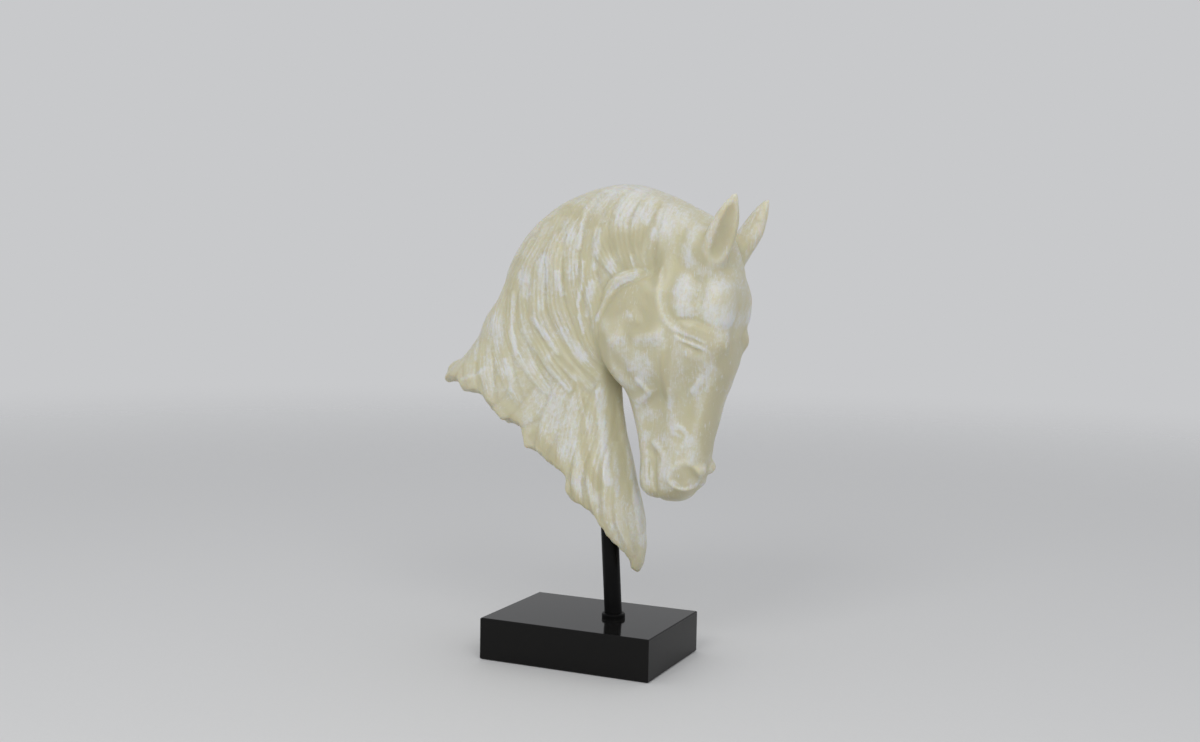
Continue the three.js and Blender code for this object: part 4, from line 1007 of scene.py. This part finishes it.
# %% A wrapper for sums on sockets
class Value:
    """One shader output with the operators of a number."""

    def __init__(self, tree, socket):
        self.tree = tree
        self.socket = socket

    def node(self, kind, *inputs, output=0, **settings):
        """Adds any node, sets its properties, feeds its inputs in order and gives one output."""
        made = self.tree.nodes.new(kind)
        for key, value in settings.items():
            setattr(made, key, value)
        for place, value in enumerate(inputs):
            if isinstance(value, Value):
                self.tree.links.new(value.socket, made.inputs[place])
            elif value is not None:
                made.inputs[place].default_value = value
        return Value(self.tree, made.outputs[output])

    def math(self, operation, *inputs):
        """One sum on its inputs, by the name that Blender gives it."""
        return self.node("ShaderNodeMath", *inputs, operation=operation)

    def __add__(self, other):
        return self.math("ADD", self, other)

    def __radd__(self, other):
        return self.math("ADD", other, self)

    def __sub__(self, other):
        return self.math("SUBTRACT", self, other)

    def __rsub__(self, other):
        return self.math("SUBTRACT", other, self)

    def __mul__(self, other):
        return self.math("MULTIPLY", self, other)

    def __rmul__(self, other):
        return self.math("MULTIPLY", other, self)

    def between(self, a, b):
        """0 at a, 1 at b and S-shaped between: three times the square less twice the cube."""
        return self.node("ShaderNodeMapRange", self, a, b, 0.0, 1.0, interpolation_type="SMOOTHSTEP")

    def clamped(self):
        """The value itself between 0 and 1, and the nearer of the two outside them."""
        return self.node("ShaderNodeClamp", self, 0.0, 1.0)

    def scaled(self, x, y, z):
        """A vector with each part times a number."""
        return self.node("ShaderNodeVectorMath", self, (x, y, z), operation="MULTIPLY")

    def noise(self, scale, detail=2.0, roughness=0.5, distortion=0.0):
        """Noise in about 0.2 to 0.8 at a vector."""
        made = self.node("ShaderNodeTexNoise", self)
        inputs = made.socket.node.inputs
        inputs["Scale"].default_value = scale
        inputs["Detail"].default_value = detail
        inputs["Roughness"].default_value = roughness
        inputs["Distortion"].default_value = distortion
        return made

    def mix(self, a, b):
        """Colour a where self is 0, colour b where it is 1."""
        made = self.tree.nodes.new("ShaderNodeMix")
        made.data_type = "RGBA"
        for place, value in ((0, self), (6, a), (7, b)):
            if isinstance(value, Value):
                self.tree.links.new(value.socket, made.inputs[place])
            else:
                made.inputs[place].default_value = (*value, 1.0)
        return Value(self.tree, made.outputs[2])


def new_material(name):
    """A material with its shader, a tree to add to, and the vector of the object's own place."""
    material = bpy.data.materials.new(name)
    material.use_nodes = True
    tree = material.node_tree
    shader = tree.nodes["Principled BSDF"]
    place = tree.nodes.new("ShaderNodeTexCoord").outputs["Object"]
    return material, tree, shader, Value(tree, place)


def attribute(tree, name, vector=False):
    """A corner attribute of the mesh as a value."""
    made = tree.nodes.new("ShaderNodeAttribute")
    made.attribute_name = name
    return Value(tree, made.outputs["Vector" if vector else "Fac"])


def feed(tree, shader, **inputs):
    """Links values to the shader's inputs, written with _ for a space."""
    for name, value in inputs.items():
        tree.links.new(value.socket, shader.inputs[name.replace("_", " ")])


def bump(tree, shader, height, distance):
    """A bump from a height in 0 to 1 that stands for distance in metres."""
    made = tree.nodes.new("ShaderNodeBump")
    made.inputs["Distance"].default_value = distance
    made.inputs["Strength"].default_value = 1.0
    tree.links.new(height.socket, made.inputs["Height"])
    tree.links.new(made.outputs["Normal"], shader.inputs["Normal"])


# %% [markdown]
# The resin is pale and waxy. A plain colour would look like plaster, so some of the light goes
# under the surface and comes out nearby, red the farthest. The resin is clear honey yellow
# where the paint was wiped off and along the broken edge, paler where it is raised, and white
# where the strokes of paint lie. Streaks follow the hair, because their noise is stretched
# along the locks.

# %% Make the resin
HONEY_DEEP = (0.595, 0.56, 0.375)
HONEY_RAISED = (0.615, 0.59, 0.44)
MILKY = (0.595, 0.56, 0.415)
BARE = (0.525, 0.487, 0.315)
WHITE = (0.70, 0.71, 0.70)
resin, tree, shader, place = new_material("cast_resin")
relief = attribute(tree, "broad_relief")
fine = attribute(tree, "fine_relief")
strokes = attribute(tree, "paint")
hair = attribute(tree, "comb", vector=True)
cut = attribute(tree, "to_cut")
streaks = hair.scaled(0.62, 0.075, 0.1).noise(1.0, 3.0, 0.6, 0.4)
scratches = hair.scaled(1.15, 0.1, 0.2).noise(1.0, 2.0, 0.5, 0.6).between(0.56, 0.68)
cloud = place.noise(46.0, 4.0, 0.6, 0.3)
speckle = place.noise(330.0, 3.0, 0.65)
grain = place.noise(900.0, 2.0, 0.6)
raised = (relief * 0.42 + fine * 0.9 + 0.42).clamped()
honey = raised.mix(HONEY_DEEP, HONEY_RAISED)
drift = cloud.between(0.38, 0.66)
rim = cut.between(22.0, 5.0)
bare = (strokes.between(-0.1, -0.8) * 0.7 + rim * 0.45).clamped()
body = bare.mix((drift * 0.5).mix(honey, MILKY), BARE)
cover = strokes * 0.72 + raised * 0.6 + (streaks - 0.5) * 1.1 + (cloud - 0.5) * 1.6
cover = cover + (speckle - 0.5) * 1.8 + scratches * cloud.between(0.35, 0.6) * 0.7 - 0.42
white = (cover - rim * 0.6).between(-0.3, 1.15)
feed(
    tree,
    shader,
    Base_Color=white.mix(body, WHITE),
    Roughness=0.36 + white * 0.2 + (speckle - 0.5) * 0.12,
)
height = speckle * 0.35 + grain * 0.16 + streaks * 0.5 + white * 0.16
bump(tree, shader, height, 0.00055)
shader.inputs["Subsurface Weight"].default_value = 0.65
shader.inputs["Subsurface Radius"].default_value = (1.0, 0.72, 0.38)
shader.inputs["Subsurface Scale"].default_value = 0.012
shader.inputs["IOR"].default_value = 1.48
shader.inputs["Coat Weight"].default_value = 0.0
head.data.materials.append(resin)
print("resin made of", len(tree.nodes), "nodes")

# %% [markdown]
# The rod and the collar are satin black, with fine lines round them from turning. The block is
# lacquered and polished, with a faint orange peel and a little dust. The photograph shows only
# weak mirror images in them, so both get a low index of refraction, which reflects little
# where it is looked at straight and more at a glance.

# %% Make the blacks
satin, tree, shader, place = new_material("rod_satin_black")
turning = place.scaled(40.0, 40.0, 2600.0).noise(1.0, 2.0)
patches = place.noise(60.0, 2.0)
feed(
    tree,
    shader,
    Base_Color=patches.between(0.3, 0.7).mix((0.002, 0.002, 0.0022), (0.004, 0.0038, 0.0038)),
    Roughness=0.30 + patches * 0.12 + turning * 0.06,
)
bump(tree, shader, turning + patches, 0.00003)
shader.inputs["IOR"].default_value = 1.2
rod.data.materials.append(satin)

gloss, tree, shader, place = new_material("base_gloss_black")
peel = place.noise(240.0, 2.0)
dust = place.noise(1500.0, 3.0, 0.7)
haze = place.noise(22.0, 3.0)
specks = dust.between(0.62, 0.74) * haze.between(0.35, 0.7)
feed(
    tree,
    shader,
    Base_Color=(specks * 0.25).mix((0.0085, 0.0083, 0.008), (0.05, 0.048, 0.046)),
    Roughness=0.07 + haze * 0.06 + specks * 0.1,
)
bump(tree, shader, peel * 0.6 + dust * 0.05, 0.00004)
shader.inputs["IOR"].default_value = 1.22
for node in ("base", "collar"):
    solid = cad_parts[node]
    solid.data.materials.clear()
    solid.data.materials.append(gloss if node == "base" else satin)
print("blacks made and given to", rod.name, "and to the solids base and collar")

# %% [markdown]
# ## Floor and light
#
# The photograph shows a pale ground without a horizon, and faint soft shadows. A plain floor
# would end in a line, so this one is a disc that fades out with distance, and the world beyond
# it has the same pale grey from any side. Two soft lights hang high in front, so that a soft
# shadow falls behind the object on each side, and the world fills the rest.


# %% Make the floor and the lights
FLOOR_RADIUS = 6000
FLOOR_DROP = 0.4


def disc(radius, rings=40, sides=96):
    """A flat disc of rings of four-sided faces, finer in the middle."""
    r = radius * (np.arange(1, rings + 1) / rings) ** 2
    angle = 2 * np.pi * np.arange(sides) / sides
    height = np.full((rings, sides), -FLOOR_DROP)
    points = np.stack([r[:, None] * np.cos(angle), r[:, None] * np.sin(angle), height], -1)
    i = np.arange(rings - 1)[:, None]
    j = np.arange(sides)[None]
    j2 = (j + 1) % sides
    corners = (i * sides + j, (i + 1) * sides + j, (i + 1) * sides + j2, i * sides + j2)
    faces = np.stack(np.broadcast_arrays(*corners), -1)
    return points.reshape(-1, 3), faces.reshape(-1, 4)


floor = make_mesh("studio_floor", *disc(FLOOR_RADIUS))
paper, tree, shader, place = new_material("pale_paper")
radius = place.node("ShaderNodeVectorMath", place, operation="LENGTH", output=1)
tooth = place.noise(400.0, 2.0)
feed(
    tree,
    shader,
    Base_Color=tooth.mix((0.715, 0.717, 0.72), (0.735, 0.737, 0.74)),
    Alpha=radius.between(3.2, 0.9),
)
bump(tree, shader, tooth, 0.0001)
shader.inputs["Roughness"].default_value = 0.7
shader.inputs["Specular IOR Level"].default_value = 0.2
floor.data.materials.append(paper)

world = bpy.data.worlds.new("studio")
world.use_nodes = True
background = world.node_tree.nodes["Background"]
background.inputs["Color"].default_value = (0.578, 0.584, 0.597, 1)
background.inputs["Strength"].default_value = 1.0
bpy.context.scene.world = world

LIGHT_SIZE = 0.9
LIGHT_COLOUR = (1.0, 0.995, 0.98)
OBJECT_MIDDLE = Vector((0.0, 0.0, 0.22))


def area_light(name, place, power):
    """A square soft light that faces the middle of the object."""
    data = bpy.data.lights.new(name, "AREA")
    data.shape = "SQUARE"
    data.size = LIGHT_SIZE
    data.energy = power
    data.color = LIGHT_COLOUR
    light = bpy.data.objects.new(name, data)
    light.location = place
    toward = OBJECT_MIDDLE - Vector(place)
    light.rotation_euler = toward.to_track_quat("-Z", "Y").to_euler()
    bpy.context.scene.collection.objects.link(light)


area_light("key", (0.0, -2.0, 1.6), 12.5)
area_light("second", (1.25, -1.5, 1.6), 8)
bpy.context.scene.view_settings.view_transform = "Standard"
print("floor, world and lights made")
